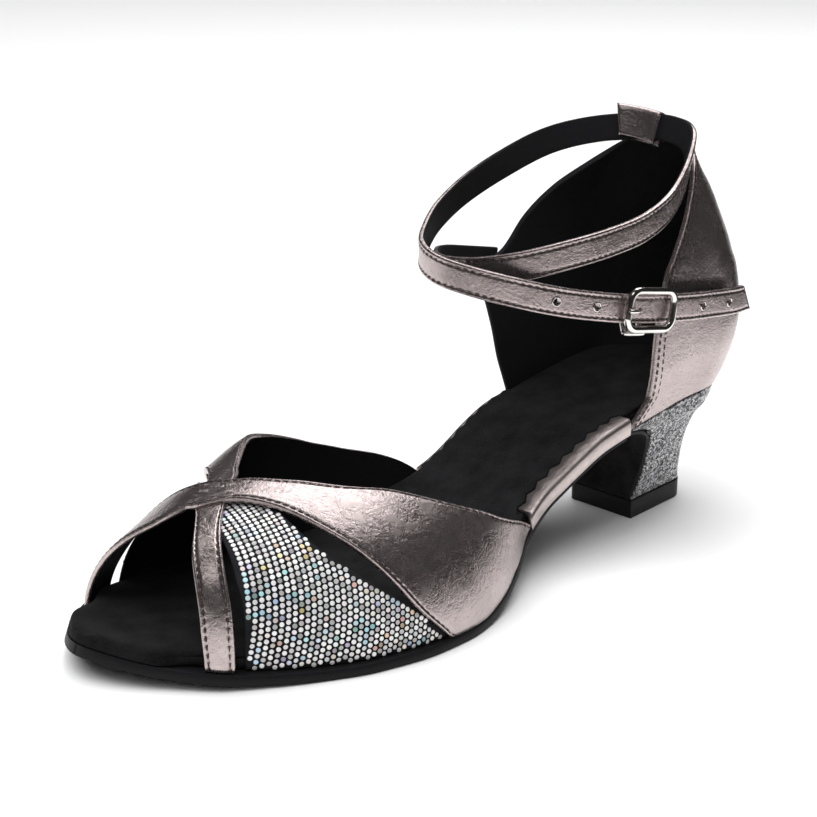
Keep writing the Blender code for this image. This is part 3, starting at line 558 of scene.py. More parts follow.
def blackLiftRubber(name):
    material = plain(name, (0.008, 0.008, 0.009), 0.45, 0.2)
    tree = material.node_tree
    grit = addNoise(tree, 900.0, 3.0).outputs["Fac"]
    addBump(tree, tree.nodes["Principled BSDF"], grit, 0.25, 0.2 * mm)
    return material


def polishedNickel(name):
    material, tree, shader = newMaterial(name)
    smear = addNoise(tree, 700.0, 3.0).outputs["Fac"]
    tree.links.new(addMath(tree, "MULTIPLY_ADD", smear, 0.14, 0.07), shader.inputs["Roughness"])
    setInputs(shader, {"Base Color": (0.80, 0.77, 0.74, 1.0), "Metallic": 1.0})
    return material


# Packed flakes: each has its own tilt and brightness.
def heelGlitter(name):
    material, tree, shader = newMaterial(name)
    where = addNode(tree, "ShaderNodeTexCoord").outputs["Object"]
    cells = {"Vector": where, "Scale": 1750.0}
    flake = addNode(tree, "ShaderNodeTexVoronoi", cells).outputs["Color"]
    gap = addNode(tree, "ShaderNodeTexVoronoi", cells, feature="DISTANCE_TO_EDGE")
    level = addNode(tree, "ShaderNodeSeparateXYZ", {0: flake}).outputs["X"]
    greys = [(0.0, (0.05, 0.05, 0.052)), (0.45, (0.24, 0.24, 0.25)), (0.92, (0.80, 0.80, 0.81))]
    colour = addRamp(tree, level, greys)
    shade = addMath(tree, "MULTIPLY", gap.outputs["Distance"], 9.0)
    shade = addNode(tree, "ShaderNodeClamp", {"Value": shade, "Min": 0.25, "Max": 1.0}).outputs[0]
    parts = {0: 1.0, 6: colour, 7: shade}
    dimmed = addNode(tree, "ShaderNodeMix", parts, data_type="RGBA", blend_type="MULTIPLY")
    tree.links.new(dimmed.outputs[2], shader.inputs["Base Color"])
    normal = addNode(tree, "ShaderNodeNewGeometry").outputs["Normal"]
    centred = addNode(tree, "ShaderNodeVectorMath", {0: flake, 1: (0.5, 0.5, 0.5)}, operation="SUBTRACT")
    tilt = addNode(tree, "ShaderNodeVectorMath", {0: centred.outputs[0], "Scale": 1.1}, operation="SCALE")
    leaned = addNode(tree, "ShaderNodeVectorMath", {0: normal, 1: tilt.outputs[0]}, operation="ADD")
    unitNormal = addNode(tree, "ShaderNodeVectorMath", {0: leaned.outputs[0]}, operation="NORMALIZE")
    tree.links.new(unitNormal.outputs[0], shader.inputs["Normal"])
    setInputs(shader, {"Metallic": 0.75, "Roughness": 0.38})
    return material


# The panel's dots, each tinted by its own attribute.
def dotFoil(name):
    material, tree, shader = newMaterial(name)
    tint = addNode(tree, "ShaderNodeAttribute", attribute_name="tint").outputs["Color"]
    tree.links.new(tint, shader.inputs["Base Color"])
    setInputs(shader, {"Metallic": 0.25, "Roughness": 0.32})
    return material


stitchThread = plain("stitchThread", (0.045, 0.034, 0.033), 0.8)
lining = blackLining("lining")
nickel = polishedNickel("nickel")


# Geometry Nodes for stitches and dots
def newGeometryGroup(name, inputs):
    shape = ("Geometry", "NodeSocketGeometry")
    return newGroup(name, "GeometryNodeTree", [(*shape, None), *inputs], [shape])


# Puts the instance on every point, makes it real and gives it the material.
def placeOnPoints(tree, into, out, inputs):
    placed = addNode(tree, "GeometryNodeInstanceOnPoints", inputs)
    real = addNode(tree, "GeometryNodeRealizeInstances", {"Geometry": placed.outputs[0]})
    dressed = {"Geometry": real.outputs[0], "Material": into.outputs["Material"]}
    done = addNode(tree, "GeometryNodeSetMaterial", dressed)
    tree.links.new(done.outputs[0], out.inputs["Geometry"])
    return tree


# Stitches laid end to end along the curves that come in.
def makeStitchGroup():
    tree, into, out = newGeometryGroup(
        "runningStitch",
        [
            ("Pitch", "NodeSocketFloat", 0.0023),
            ("Stitch", "NodeSocketFloat", 0.0016),
            ("Thread", "NodeSocketFloat", 0.0002),
            ("Material", "NodeSocketMaterial", None),
        ],
    )
    spaced = {"Curve": into.outputs["Geometry"], "Length": into.outputs["Pitch"]}
    steps = addNode(tree, "GeometryNodeResampleCurve", spaced, mode="LENGTH")
    tangent = addNode(tree, "GeometryNodeInputTangent").outputs[0]
    turned = addNode(tree, "FunctionNodeAlignRotationToVector", {"Vector": tangent}, axis="Z")
    bead = addNode(tree, "GeometryNodeMeshUVSphere", {"Segments": 8, "Rings": 6, "Radius": 1.0})
    half = addMath(tree, "MULTIPLY", into.outputs["Stitch"], 0.5)
    thread = into.outputs["Thread"]
    size = addNode(tree, "ShaderNodeCombineXYZ", {0: thread, 1: thread, 2: half})
    return placeOnPoints(tree, into, out, {
        "Points": steps.outputs[0],
        "Instance": bead.outputs["Mesh"],
        "Rotation": turned.outputs[0],
        "Scale": size.outputs[0],
    })


# A flat round dot on every point, turned to the point's own normal.
def makeDotGroup():
    tree, into, out = newGeometryGroup(
        "glitterDots",
        [
            ("Diameter", "NodeSocketFloat", 0.0011),
            ("Thickness", "NodeSocketFloat", 0.0002),
            ("Sides", "NodeSocketInt", 12),
            ("Material", "NodeSocketMaterial", None),
        ],
    )
    radius = addMath(tree, "MULTIPLY", into.outputs["Diameter"], 0.5)
    rim = addMath(tree, "MULTIPLY", radius, 0.78)
    dot = addNode(tree, "GeometryNodeMeshCone", {
        "Vertices": into.outputs["Sides"],
        "Radius Bottom": radius,
        "Radius Top": rim,
        "Depth": into.outputs["Thickness"],
    })
    facing = addNode(
        tree, "GeometryNodeInputNamedAttribute", {"Name": "facing"}, data_type="FLOAT_VECTOR"
    )
    turned = addNode(tree, "FunctionNodeAlignRotationToVector", {"Vector": facing.outputs[0]}, axis="Z")
    return placeOnPoints(tree, into, out, {
        "Points": into.outputs["Geometry"],
        "Instance": dot.outputs["Mesh"],
        "Rotation": turned.outputs[0],
    })


stitchGroup = makeStitchGroup()
dotGroup = makeDotGroup()


# Runs a Geometry Nodes group on the source object and keeps only the mesh that comes out.
def applyGroup(source, name, group, inputs):
    modifier = source.modifiers.new(group.name, "NODES")
    modifier.node_group = group
    for item in group.interface.items_tree:
        if item.in_out == "INPUT" and item.name in inputs:
            modifier[item.identifier] = inputs[item.name]
    bpy.context.view_layer.update()
    made = source.evaluated_get(bpy.context.evaluated_depsgraph_get())
    mesh = bpy.data.meshes.new_from_object(made)
    mesh.name = name
    mesh.shade_smooth()
    obj = bpy.data.objects.new(name, mesh)
    bpy.context.scene.collection.objects.link(obj)
    bpy.data.objects.remove(source, do_unlink=True)
    return obj


def stitches(name, paths, pitch=2.3 * mm, stitch=1.65 * mm, thread=0.14 * mm):
    curve = bpy.data.curves.new(name + "Path", "CURVE")
    curve.dimensions = "3D"
    for path in paths:
        line = curve.splines.new("POLY")
        line.points.add(len(path) - 1)
        line.points.foreach_set("co", np.concatenate([path, np.ones((len(path), 1))], axis=1).reshape(-1))
    source = bpy.data.objects.new(name + "Path", curve)
    bpy.context.scene.collection.objects.link(source)
    inputs = {"Pitch": pitch, "Stitch": stitch, "Thread": thread, "Material": stitchThread}
    obj = applyGroup(source, name, stitchGroup, inputs)
    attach(obj, "root")


def keep(obj, node):
    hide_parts(node)
    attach(obj, "root")


# Last over the toes: share of the length, crown across and height, squareness outside and inside
crownRows = [
    (0.42, 0.17, 1.08, 2.0, 2.6),
    (0.53, 0.19, 1.03, 2.0, 2.7),
    (0.62, 0.19, 0.97, 2.0, 2.8),
    (0.70, 0.19, 0.905, 2.2, 2.7),
    (0.76, 0.14, 0.815, 2.4, 2.3),
    (0.82, 0.09, 0.735, 2.6, 1.9),
    (0.89, 0.05, 0.60, 2.7, 1.6),
    (0.96, 0.05, 0.46, 2.6, 1.5),
]
crownAcross, crownHeight, crownOuter, crownInner = columnsOf(crownRows)


def lastPoint(along, side):
    share = along / shoe["soleLength"]
    middle, half = halfWidth(along, boardInset(along))
    base = soleTop(along) + clear
    top = crownHeight(share) * shoe["instepHeight"]
    across = np.minimum(crownAcross(share) * shoe["ballWidth"], middle + half * 0.6)
    power = np.where(side < 0, crownOuter(share), crownInner(share))
    turn = (1.0 - np.abs(side)) * pi / 2
    welt = middle + half * np.where(side < 0, -1.0, 1.0)
    y = across + (welt - across) * np.maximum(np.cos(turn), 0.0) ** (2 / power)
    return place(along, y, base + top * np.maximum(np.sin(turn), 0.0) ** (2 / power))


def lastNormal(along, side):
    inner = np.clip(side, -0.98, 0.98)
    here = lastPoint(along, inner)
    forward = lastPoint(along + 0.5 * mm, inner) - here
    sideways = lastPoint(along, inner + 0.01) - here
    normal = unit(np.cross(forward, sideways))
    guide = np.stack([np.zeros_like(inner), inner, np.full_like(inner, 0.6)], axis=-1)
    normal = normal * np.where((normal * guide).sum(axis=-1) < 0, -1.0, 1.0)[..., None]
    level = normal.copy()
    level[..., 2] = 0.0
    return np.where((np.abs(side) > 0.97)[..., None], unit(level), normal)


def lastOffset(along, side, distance):
    point = lastPoint(along, side) + lastNormal(along, side) * np.asarray(distance)[..., None]
    floor = soleTop(shoe["heelCentre"] - point[..., 0]) + clear
    point[..., 2] = np.maximum(point[..., 2], floor)
    return point


# Bands on the last: rear edge (along, side), front edge (along, side), lift
overRows = [
    (0.435, -1.00, 0.652, -1.00, 0.0),
    (0.516, -0.773, 0.690, -0.88, 0.0),
    (0.566, -0.632, 0.712, -0.77, 0.0),
    (0.646, -0.455, 0.737, -0.615, 0.0),
    (0.705, -0.341, 0.764, -0.43, 0.0),
    (0.745, -0.20, 0.790, -0.235, 0.5),
    (0.772, -0.095, 0.814, -0.108, 1.0),
    (0.797, -0.004, 0.845, -0.02, 1.0),
    (0.812, 0.10, 0.872, 0.085, 0.8),
    (0.826, 0.30, 0.893, 0.21, 0.3),
    (0.845, 0.50, 0.909, 0.44, 0.0),
    (0.865, 0.76, 0.9125, 0.76, 0.0),
    (0.873, 1.00, 0.912, 1.00, 0.0),
]
underRows = [
    (0.886, -1.00, 0.909, -1.00, 0.0),
    (0.885, -0.80, 0.9095, -0.80, 0.0),
    (0.879, -0.53, 0.905, -0.50, 0.0),
    (0.867, -0.326, 0.895, -0.28, 0.0),
    (0.849, -0.185, 0.876, -0.13, 0.0),
    (0.823, -0.09, 0.847, -0.017, 0.0),
    (0.790, -0.03, 0.812, 0.05, 0.0),
    (0.762, 0.00, 0.783, 0.16, 0.0),
    (0.718, 0.12, 0.755, 0.40, 0.0),
    (0.660, 0.37, 0.735, 0.58, 0.0),
    (0.545, 0.70, 0.702, 0.78, 0.0),
    (0.422, 1.00, 0.651, 1.00, 0.0),
]
lateralRows = [
    (0.797, -0.055, 0.842, -0.045, 0.0),
    (0.786, -0.22, 0.856, -0.24, 0.0),
    (0.779, -0.48, 0.8685, -0.50, 0.0),
    (0.745, -0.70, 0.872, -0.72, 0.0),
    (0.700, -0.855, 0.875, -0.87, 0.0),
    (0.650, -1.00, 0.8764, -1.00, 0.0),
]
medialRows = [
    (0.800, 0.10, 0.835, 0.17, 0.0),
    (0.775, 0.36, 0.848, 0.35, 0.0),
    (0.752, 0.54, 0.855, 0.52, 0.0),
    (0.712, 0.77, 0.858, 0.76, 0.0),
    (0.655, 1.00, 0.861, 1.00, 0.0),
]
edgeSteps = np.array([0.0, 0.1, 0.25, 0.5, 0.8, 1.05, 1.25, 1.5, 2.1])


# Shares across a band that lie close together near both of its edges.
def bandShares(width, middleCount):
    near = edgeSteps[None, :] / width[:, None]
    near = near * np.minimum(1.0, 0.42 / near[:, -1:])
    t = np.linspace(0.0, 1.0, middleCount + 2)[None, 1:-1]
    middle = near[:, -1:] + (1 - 2 * near[:, -1:]) * t
    return np.concatenate([near, middle, 1.0 - near[:, ::-1]], axis=1)


# (along, side, lift, distance from the nearer long edge in mm, shares) over the band's grid.
def bandParameters(rows, lengthCount, middleCount):
    rows = np.array(rows)
    rear = spline(rows[:, [0, 1, 4]], lengthCount)
    front = spline(rows[:, [2, 3, 4]], lengthCount)
    shares = np.repeat(np.linspace(0.0, 1.0, 21)[None, :], lengthCount, axis=0)

    def at(t):
        mix = rear[:, None, :] + (front - rear)[:, None, :] * t[..., None]
        return mix[..., 0] * shoe["soleLength"], np.clip(mix[..., 1], -1.0, 1.0), mix[..., 2]

    along, side, lift = at(shares)
    points = lastPoint(along, side)
    steps = np.linalg.norm(np.diff(points, axis=1), axis=2)
    run = np.concatenate([np.zeros((lengthCount, 1)), np.cumsum(steps, axis=1)], axis=1)
    width = run[:, -1] / mm
    wanted = bandShares(width, middleCount)
    t = np.stack([np.interp(w, r / r[-1], shares[0]) for w, r in zip(wanted, run)])
    along, side, lift = at(t)
    edge = np.minimum(wanted, 1.0 - wanted) * width[:, None]
    return along, side, lift, edge, wanted * width[:, None]


# A line along a band at a distance in mm from its rear edge, or from its front edge if negative.
def bandPath(parameters, distanceFromRear, offset, lifts, start=0, end=None):
    along, side, lift, edge, across = parameters
    path = []
    for i in range(len(along)):
        wanted = distanceFromRear if distanceFromRear >= 0 else across[i, -1] + distanceFromRear
        a, s, h = (np.interp(wanted, across[i], values[i]) for values in (along, side, lift))
        path.append(lastOffset(np.array([a]), np.array([s]), np.array([offset + lifts * h]))[0])
    return np.array(path)[start:end]


band = {
    "leather": 1.6 * mm,
    "step": 1.2 * mm,
    "edgeRound": 0.55,
    "groove": 0.10 * mm,
    "grooveWidth": 0.38,
    "stitchLine": 1.25,
    "stitchSink": 0.02 * mm,
    "ridge": 0.32 * mm,
    "ridgeWidth": 0.7 * mm,
    "wrinkle": 0.075 * mm,
}
underGap = clear * 2 + shoe["panelThickness"]


# Thickness over a band: rounded at both long edges, with a shallow groove under the stitches.
def bandHeight(parameters, thickness):
    edge = parameters[3]
    body = thickness * (0.45 + 0.55 * roundEnd(edge, band["edgeRound"]))
    groove = band["groove"] * np.exp(-(((edge - band["stitchLine"]) / band["grooveWidth"]) ** 2))
    return body - groove


# Low creases that fade out towards both hems.
def creases(base, edge, sizes, seeds, stretch=1.0):
    lumps = wobble(base, sizes[0], seeds[0]) + 0.5 * wobble(base * stretch, sizes[1], seeds[1])
    return band["wrinkle"] * lumps * np.clip((edge - 1.0) / 3.0, 0.0, 1.0)


# The edges of the lower strap, which show through the upper one as ridges.
def ridgesOver(base, edge, under):
    total = np.zeros(base.shape[:2])
    for distance, sign in ((0.3, 1.0), (1.9, -0.6), (-0.3, 1.0), (-1.9, -0.6)):
        near = np.full(base.shape[:2], 1.0)
        for point in bandPath(under, distance, 0.0, 0.0)[::2]:
            near = np.minimum(near, np.linalg.norm(base - point, axis=-1))
        total += sign * band["ridge"] * np.exp(-((near / band["ridgeWidth"]) ** 2)) * (edge > 1.0)
    return total


# One strap; gives back the two lines of its stitches.
def makeStrap(name, foilName, parameters, relief, rise):
    along, side, lift, edge, across = parameters
    height = bandHeight(parameters, band["leather"]) + relief
    outer = lastOffset(along, side, underGap + height + rise * lift)
    inner = lastOffset(along, side, underGap + rise * lift)
    foil = foilLeather(foilName, pebble=1300.0, creasing=0.8)
    keep(slab(name, outer, inner, [foil, lining], edge), "vamp_straps")
    surface = underGap + band["leather"] - band["stitchSink"]
    line = band["stitchLine"]
    return [bandPath(parameters, distance, surface, rise, 2, -2) for distance in (line, -line)]


def makeVamp():
    over = bandParameters(overRows, 190, 34)
    under = bandParameters(underRows, 190, 26)
    base = lastPoint(over[0], over[1])
    flattened = np.array([1.0, 0.5, 1.0])
    relief = ridgesOver(base, over[3], under)
    relief = relief + creases(base, over[3], (9.0 * mm, 3.2 * mm), (3.0, 8.0), flattened)
    paths = makeStrap("strapOver", "strapFoil", over, relief, band["step"])
    base = lastPoint(under[0], under[1])
    relief = creases(base, under[3], (8.0 * mm, 3.0 * mm), (21.0, 12.0))
    paths += makeStrap("strapUnder", "strapUnderFoil", under, relief, 0.0)
    stitches("vampStitches", paths)
    print("vamp straps")


# Glitter panels
panel = {
    "gap": clear * 1.2,
    "pitch": 1.68 * mm,
    "dot": 1.34 * mm,
    "raise": 0.14 * mm,
    "margin": 0.62 * mm,
    "tilt": 0.09,
    "turns": (161.0, 101.0),
    "clothRound": 0.4,
    "lowMargin": 0.8,
}
# Chance up to which each tint is taken, its colour, and how much it varies
tintKinds = [
    (0.05, (0.56, 0.80, 0.86), 0.04),
    (0.09, (0.72, 0.78, 0.92), 0.04),
    (0.93, (0.93, 0.92, 0.92), 0.015),
    (0.99, (0.90, 0.80, 0.77), 0.03),
    (1.06, (0.92, 0.64, 0.52), 0.04),
    (9.00, (0.95, 0.82, 0.46), 0.04),
]


# Places on the last by (along, distance in metres up from the sole's edge).
def sectionChart(low, high, sign, count=160):
    along = np.linspace(low, high, count)
    side = np.linspace(1.0, 0.0, 200)
    offset = np.full((count, len(side)), panel["gap"] + shoe["panelThickness"])
    points = lastOffset(along[:, None] + 0.0 * side, sign * side + 0.0 * along[:, None], offset)
    climb = np.linalg.norm(np.diff(points, axis=1), axis=2)
    return along, side, np.concatenate([np.zeros((count, 1)), np.cumsum(climb, axis=1)], axis=1)


# Dots in a six-sided lattice, laid out flat on the cloth and carried onto its surface.
def panelDots(name, rows, seed, material):
    table = np.array(rows)
    sign = np.sign(table[-1, 1])
    edges = [spline(table[:, [k, k + 1]], 240) for k in (0, 2)]
    length = shoe["soleLength"]
    low = min(e[:, 0].min() for e in edges) * length
    high = max(e[:, 0].max() for e in edges) * length
    alongs, sides, climb = sectionChart(low, high, sign)

    def climbAt(along, side):
        i = int(np.clip(round((along - low) / (high - low) * (len(alongs) - 1)), 0, len(alongs) - 1))
        return np.interp(1.0 - abs(side), 1.0 - sides, climb[i])

    outline = np.array([(a * length, climbAt(a * length, b)) for e in edges for a, b in e])
    first, second = (panel["pitch"] * np.array([cos(radians(t)), sin(radians(t))]) for t in panel["turns"])
    reach = int((high - low) / panel["pitch"] * 1.6)
    middle = np.array([(low + high) / 2, 0.0])
    found = []
    for i in range(-reach, reach + 1):
        for j in range(-reach, reach + 1):
            along, up = middle + first * i + second * j
            if not (low < along < high and panel["margin"] * panel["lowMargin"] < up < climb.max()):
                continue
            row = int(round((along - low) / (high - low) * (len(alongs) - 1)))
            side = 1.0 - np.interp(up, climb[row], 1.0 - sides)
            ends = [np.interp(-side, -np.abs(e[::-1, 1]), e[::-1, 0]) * length for e in edges]
            if not (ends[0] < along < ends[1] and side > np.abs(table[0, [1, 3]]).min()):
                continue
            if np.hypot(*(outline - (along, up)).T).min() > panel["margin"]:
                found.append((along, sign * side))
    along, side = np.array(found).T
    random = np.random.default_rng(seed)
    facing = lastNormal(along, side)
    thickness = panel["gap"] + shoe["panelThickness"] + panel["raise"] * 0.5
    points = lastOffset(along, side, np.full(len(along), thickness))
    tints = dotTints(points, random)
    facing = unit(facing + random.normal(0.0, panel["tilt"], facing.shape))
    mesh = bpy.data.meshes.new(name + "Points")
    mesh.from_pydata([tuple(p) for p in points], [], [])
    normal = mesh.attributes.new("facing", "FLOAT_VECTOR", "POINT")
    normal.data.foreach_set("vector", facing.reshape(-1))
    tint = mesh.attributes.new("tint", "FLOAT_COLOR", "POINT")
    tint.data.foreach_set("color", tints.reshape(-1))
    source = bpy.data.objects.new(name + "Points", mesh)
    bpy.context.scene.collection.objects.link(source)
    inputs = {"Diameter": panel["dot"], "Thickness": panel["raise"], "Material": material}
    dots = applyGroup(source, name, dotGroup, inputs)
    dots.data.set_sharp_from_angle(angle=radians(30))
    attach(dots, "root")
    print(name, len(points))


# Size of the patches of tint, how much they favour it, the brightest dot, and how far dots fall below it
tintPatch = {"size": 9.0 * mm, "favour": 0.24, "bright": 1.04, "fall": 0.62, "power": 2.2}


# Mostly white, with patches that lean to blue and others that lean to orange.
def dotTints(points, random):
    pick = random.random(len(points)) + tintPatch["favour"] * wobble(points, tintPatch["size"], 4.0)
    fall = random.random(len(points)) ** tintPatch["power"]
    light = tintPatch["bright"] - tintPatch["fall"] * fall
    colours = np.ones((len(points), 4))
    for i in range(len(points)):
        kind = next(row for row in tintKinds if pick[i] <= row[0])
        shade = np.array(kind[1]) * light[i] + random.normal(0.0, kind[2], 3)
        colours[i, :3] = np.clip(shade, 0.05, 1.0)
    return colours


def makePanels():
    cloth = blackSuede("panelCloth", (0.012, 0.012, 0.014), 0.3)
    dots = dotFoil("dotFoil")
    for name, rows, node, seed in (
        ("panelLateral", lateralRows, "glitter_panel_lateral", 11),
        ("panelMedial", medialRows, "glitter_panel_medial", 12),
    ):
        along, side, _, edge, _ = bandParameters(rows, 70, 40)
        thick = shoe["panelThickness"] * (0.5 + 0.5 * roundEnd(edge, panel["clothRound"]))
        outer = lastOffset(along, side, panel["gap"] + thick)
        inner = lastOffset(along, side, np.full_like(along, panel["gap"]))
        piece = slab(name, outer, inner, [cloth, lining], edge)
        keep(piece, node)
        panelDots(name + "Dots", rows, seed, dots)
    print("panels")


# Sole, board, sock and waist wraps
sole = {
    "flap": 1.6 * mm,
    "flapInset": 0.4 * mm,
    "edgeRound": 0.7 * mm,
    "edgeSink": 0.35 * mm,
    "thickenStart": 0.42,
    "thickenRun": 0.16,
    "flapRows": 8,
    "across": 25,
}
# Heel: share of the seat's height, its back and front as shares of the length, half width and
# middle as shares of the ball width, depth of its round back, and how much it narrows to the back
heelRows = [
    (0.155, 0.0420, 0.1835, 0.150, -0.026, 0.032, 0.34),
    (0.250, 0.0455, 0.1780, 0.163, -0.023, 0.034, 0.31),
    (0.380, 0.0460, 0.1720, 0.182, -0.019, 0.040, 0.27),
    (0.520, 0.0430, 0.1710, 0.204, -0.014, 0.052, 0.21),
    (0.660, 0.0340, 0.1750, 0.232, -0.008, 0.070, 0.14),
    (0.740, 0.0260, 0.1860, 0.252, -0.004, 0.084, 0.09),
    (0.790, 0.0200, 0.2050, 0.268, -0.002, 0.094, 0.05),
    (0.826, 0.0175, 0.2420, 0.288, 0.000, 0.101, 0.02),
    (0.900, 0.0110, 0.2480, 0.300, 0.000, 0.107, 0.00),
    (0.985, 0.0060, 0.2480, 0.307, 0.000, 0.109, 0.00),
]
heelBack, heelFront, heelHalf, heelMiddle, heelRound, heelTaper = columnsOf(heelRows)


# (along, height, thickness, middle, half width) down the sole's upper face.
def soleLine():
    top = heelRows[-1][2] * shoe["soleLength"] + 2.5 * mm
    along = stations(shoe["soleLength"], top, 110, (True, False))
    share = along / shoe["soleLength"]
    blend = np.clip((share - sole["thickenStart"]) / sole["thickenRun"], 0.0, 1.0)
    thick = shoe["waistThickness"] + (shoe["soleThickness"] - shoe["waistThickness"]) * blend
    middle, half = halfWidth(along, 0.0)
    line = list(zip(along, soleTop(along), thick, middle, half))
    flap = []
    for row in reversed(heelRows[1:sole["flapRows"]]):
        flap.append((row[2] * shoe["soleLength"] + clear * 1.5, row[0] * shoe["seatHeight"] - clear, row[0]))
    foot = heelRows[0]
    flap.append((foot[2] * shoe["soleLength"] + clear * 1.5, shoe["liftHeight"] + clear, foot[0]))
    knots = np.array([(a, h, 0.0) for a, h, *_ in line[-3:]] + flap)
    smoothFlap = spline(knots[2:], 34)[1:]
    for a, h, up in smoothFlap:
        up = min(h / shoe["seatHeight"], heelRows[-1][0])
        half = float(heelHalf(up)) * shoe["ballWidth"] - sole["flapInset"]
        line.append((a, h, sole["flap"], float(heelMiddle(up)) * shoe["ballWidth"], half))
    return np.array(line)


def makeOutsole():
    line = soleLine()
    ahead = unit(np.gradient(line[:, :2], axis=0))
    down = np.stack([-ahead[:, 1], ahead[:, 0]], axis=1)
    share = np.sin(np.linspace(-pi / 2, pi / 2, sole["across"]))
    edgeAway = (1.0 - np.abs(share))[None, :] * line[:, 4:5]
    sink = (1.0 - roundEnd(edgeAway, sole["edgeRound"])) * sole["edgeSink"]
    y = line[:, 3:4] + line[:, 4:5] * share[None, :]
    upper = place(np.repeat(line[:, 0:1], len(share), 1), y, line[:, 1:2] - sink)
    lowAlong = line[:, 0] + down[:, 0] * line[:, 2]
    lowHeight = line[:, 1] + down[:, 1] * line[:, 2]
    flat = (line[:, 2] == shoe["soleThickness"]) & (np.abs(line[:, 1] - shoe["soleThickness"]) < 1e-6)
    lowHeight = np.where(flat, 0.0, lowHeight)
    lower = place(np.repeat(lowAlong[:, None], len(share), 1), y, lowHeight[:, None] + sink)
    edgeBlack = plain("soleEdge", (0.008, 0.008, 0.009), 0.5, 0.15)
    obj = slab("outsoleShown", upper, lower, [edgeBlack, blackSuede("soleNap", (0.014, 0.013, 0.013))])
    keep(obj, "outsole")
    print("outsole")


def heelRing(up, height, grow, blend, count=44):
    back = heelBack(up) * shoe["soleLength"] - grow
    front = heelFront(up) * shoe["soleLength"] + grow
    half = heelHalf(up) * shoe["ballWidth"] + grow
    middle = heelMiddle(up) * shoe["ballWidth"]
    depth = heelRound(up) * shoe["soleLength"]
    share = np.sin(np.linspace(0.0, pi / 2, count)) ** 2
    along = back + (front - back) * share
    width = half * (1.0 - heelTaper(up) * (front - along) / (front - back))
    across = width * roundEnd(along - back, depth)
    fine = np.linspace(-1.0, 1.0, 24)[1:-1]
    along = np.concatenate([along[::-1], along[1:], np.full(len(fine), along[-1])])
    across = np.concatenate([-across[::-1], across[1:], across[-1] * -fine])
    level = height + (soleTop(along) - height) * blend
    return place(along, middle + across, level)


# The top lift's height, and how far its side stands out from the heel there
liftLevels = [
    (0.0, -0.30 * mm),
    (0.15 * mm, 0.08 * mm),
    (0.5 * mm, 0.20 * mm),
    (5.8 * mm, 0.20 * mm),
    (6.15 * mm, 0.10 * mm),
    (shoe["liftHeight"], -0.20 * mm),
]


def makeHeel():
    low = shoe["liftHeight"] + clear
    breast = heelRows[sole["flapRows"] - 1][0]
    ups = np.linspace(low / shoe["seatHeight"], breast, 46)
    rings = [heelRing(up, up * shoe["seatHeight"], 0.0, 0.0) for up in ups]
    for up in np.linspace(breast, 1.0, 14)[1:]:
        rings.append(heelRing(up, breast * shoe["seatHeight"], 0.0, (up - breast) / (1.0 - breast)))
    obj = loft("heelShown", rings, [heelGlitter("heelFlakes")])
    keep(obj, "heel_block")
    rings = [heelRing(heelRows[0][0], height, outward, 0.0) for height, outward in liftLevels]
    lift = loft("liftShown", rings, [blackLiftRubber("liftRubber")])
    keep(lift, "top_lift")
    print("heel")


# Waist: the sock's pinked edge and the leather that wraps the board's edge
waist = {
    "start": 0.2505,
    "end": 0.4440,
    "pitch": 5.1 * mm,
    "tooth": 1.4 * mm,
    "flange": 1.6 * mm,
    "farStep": 0.2 * mm,
    "farTooth": 0.8 * mm,
    "wrap": 1.2 * mm,
    "swell": 2.0 * mm,
    "cover": 1.1 * mm,
    "bend": 1.4 * mm,
    # Painted light: the wraps' foil is a lighter copy of the same leather
    "foil": (0.72, 0.63, 0.61),
    "perTooth": 8,
}


def waistPlaces(fine=1):
    start = waist["start"] * shoe["soleLength"]
    end = waist["end"] * shoe["soleLength"]
    count = max(2, 2 * round((end - start) / waist["pitch"])) * fine
    return np.linspace(start, end, count + 1)


# Depth of the pinked edge at each of the waist's places.
def toothDepth(fine, count):
    phase = (np.arange(count) / fine) % 2.0
    return waist["tooth"] * (1.0 - np.abs(phase - 1.0))


# How the board's and the sock's edges are rounded: radius, and how far the very edge sinks
footbedEdge = {
    "boardRound": 0.9 * mm,
    "boardSink": 0.8 * mm,
    "sockRound": 0.45 * mm,
    "sockSink": 0.4 * mm,
}
# How both are rounded at the toe: start and run as shares of the length
toe = {
    "softStart": 0.913,
    "softRun": 0.047,
    "tuckStart": 0.90,
    "tuckRun": 0.05,
    "tuckRound": 4.0 * mm,
    "boardTuck": 2.0 * mm,
    "sockTuck": 2.6 * mm,
}


# The board's inset as it is drawn, with a softer corner where it widens to the toe.
def softInset(along):
    share = np.clip((along / shoe["soleLength"] - toe["softStart"]) / toe["softRun"], 0.0, 1.0)
    return shoe["edgeLedge"] + (shoe["toeLedge"] - shoe["edgeLedge"]) * share * share * (3 - 2 * share)


# How far the sock is drawn down round the board's edge: nothing in the waist, all of it at the toe.
def toeTuck(along):
    return np.clip((along / shoe["soleLength"] - toe["tuckStart"]) / toe["tuckRun"], 0.0, 1.0)


def makeBoard():
    along = stations(shoe["edgeLedge"], shoe["soleLength"] - shoe["toeLedge"], 130)
    middle, half = halfWidth(along, softInset(along))
    share = np.sin(np.linspace(-pi / 2, pi / 2, 21))
    away = (1.0 - np.abs(share))[None, :] * half[:, None]
    sink = (1.0 - roundEnd(away, footbedEdge["boardRound"])) * footbedEdge["boardSink"]
    tuck = toeTuck(along)[:, None] * (1.0 - roundEnd(away, toe["tuckRound"]))
    sink = sink + tuck * toe["boardTuck"]
    y = middle[:, None] + half[:, None] * share[None, :]
    upper = place(along[:, None], y, boardTop(along)[:, None] - sink)
    lower = place(along[:, None], y, (soleTop(along) + clear)[:, None])
    obj = slab("boardShown", upper, lower, [blackSuede("boardSuede")])
    keep(obj, "insole_board")


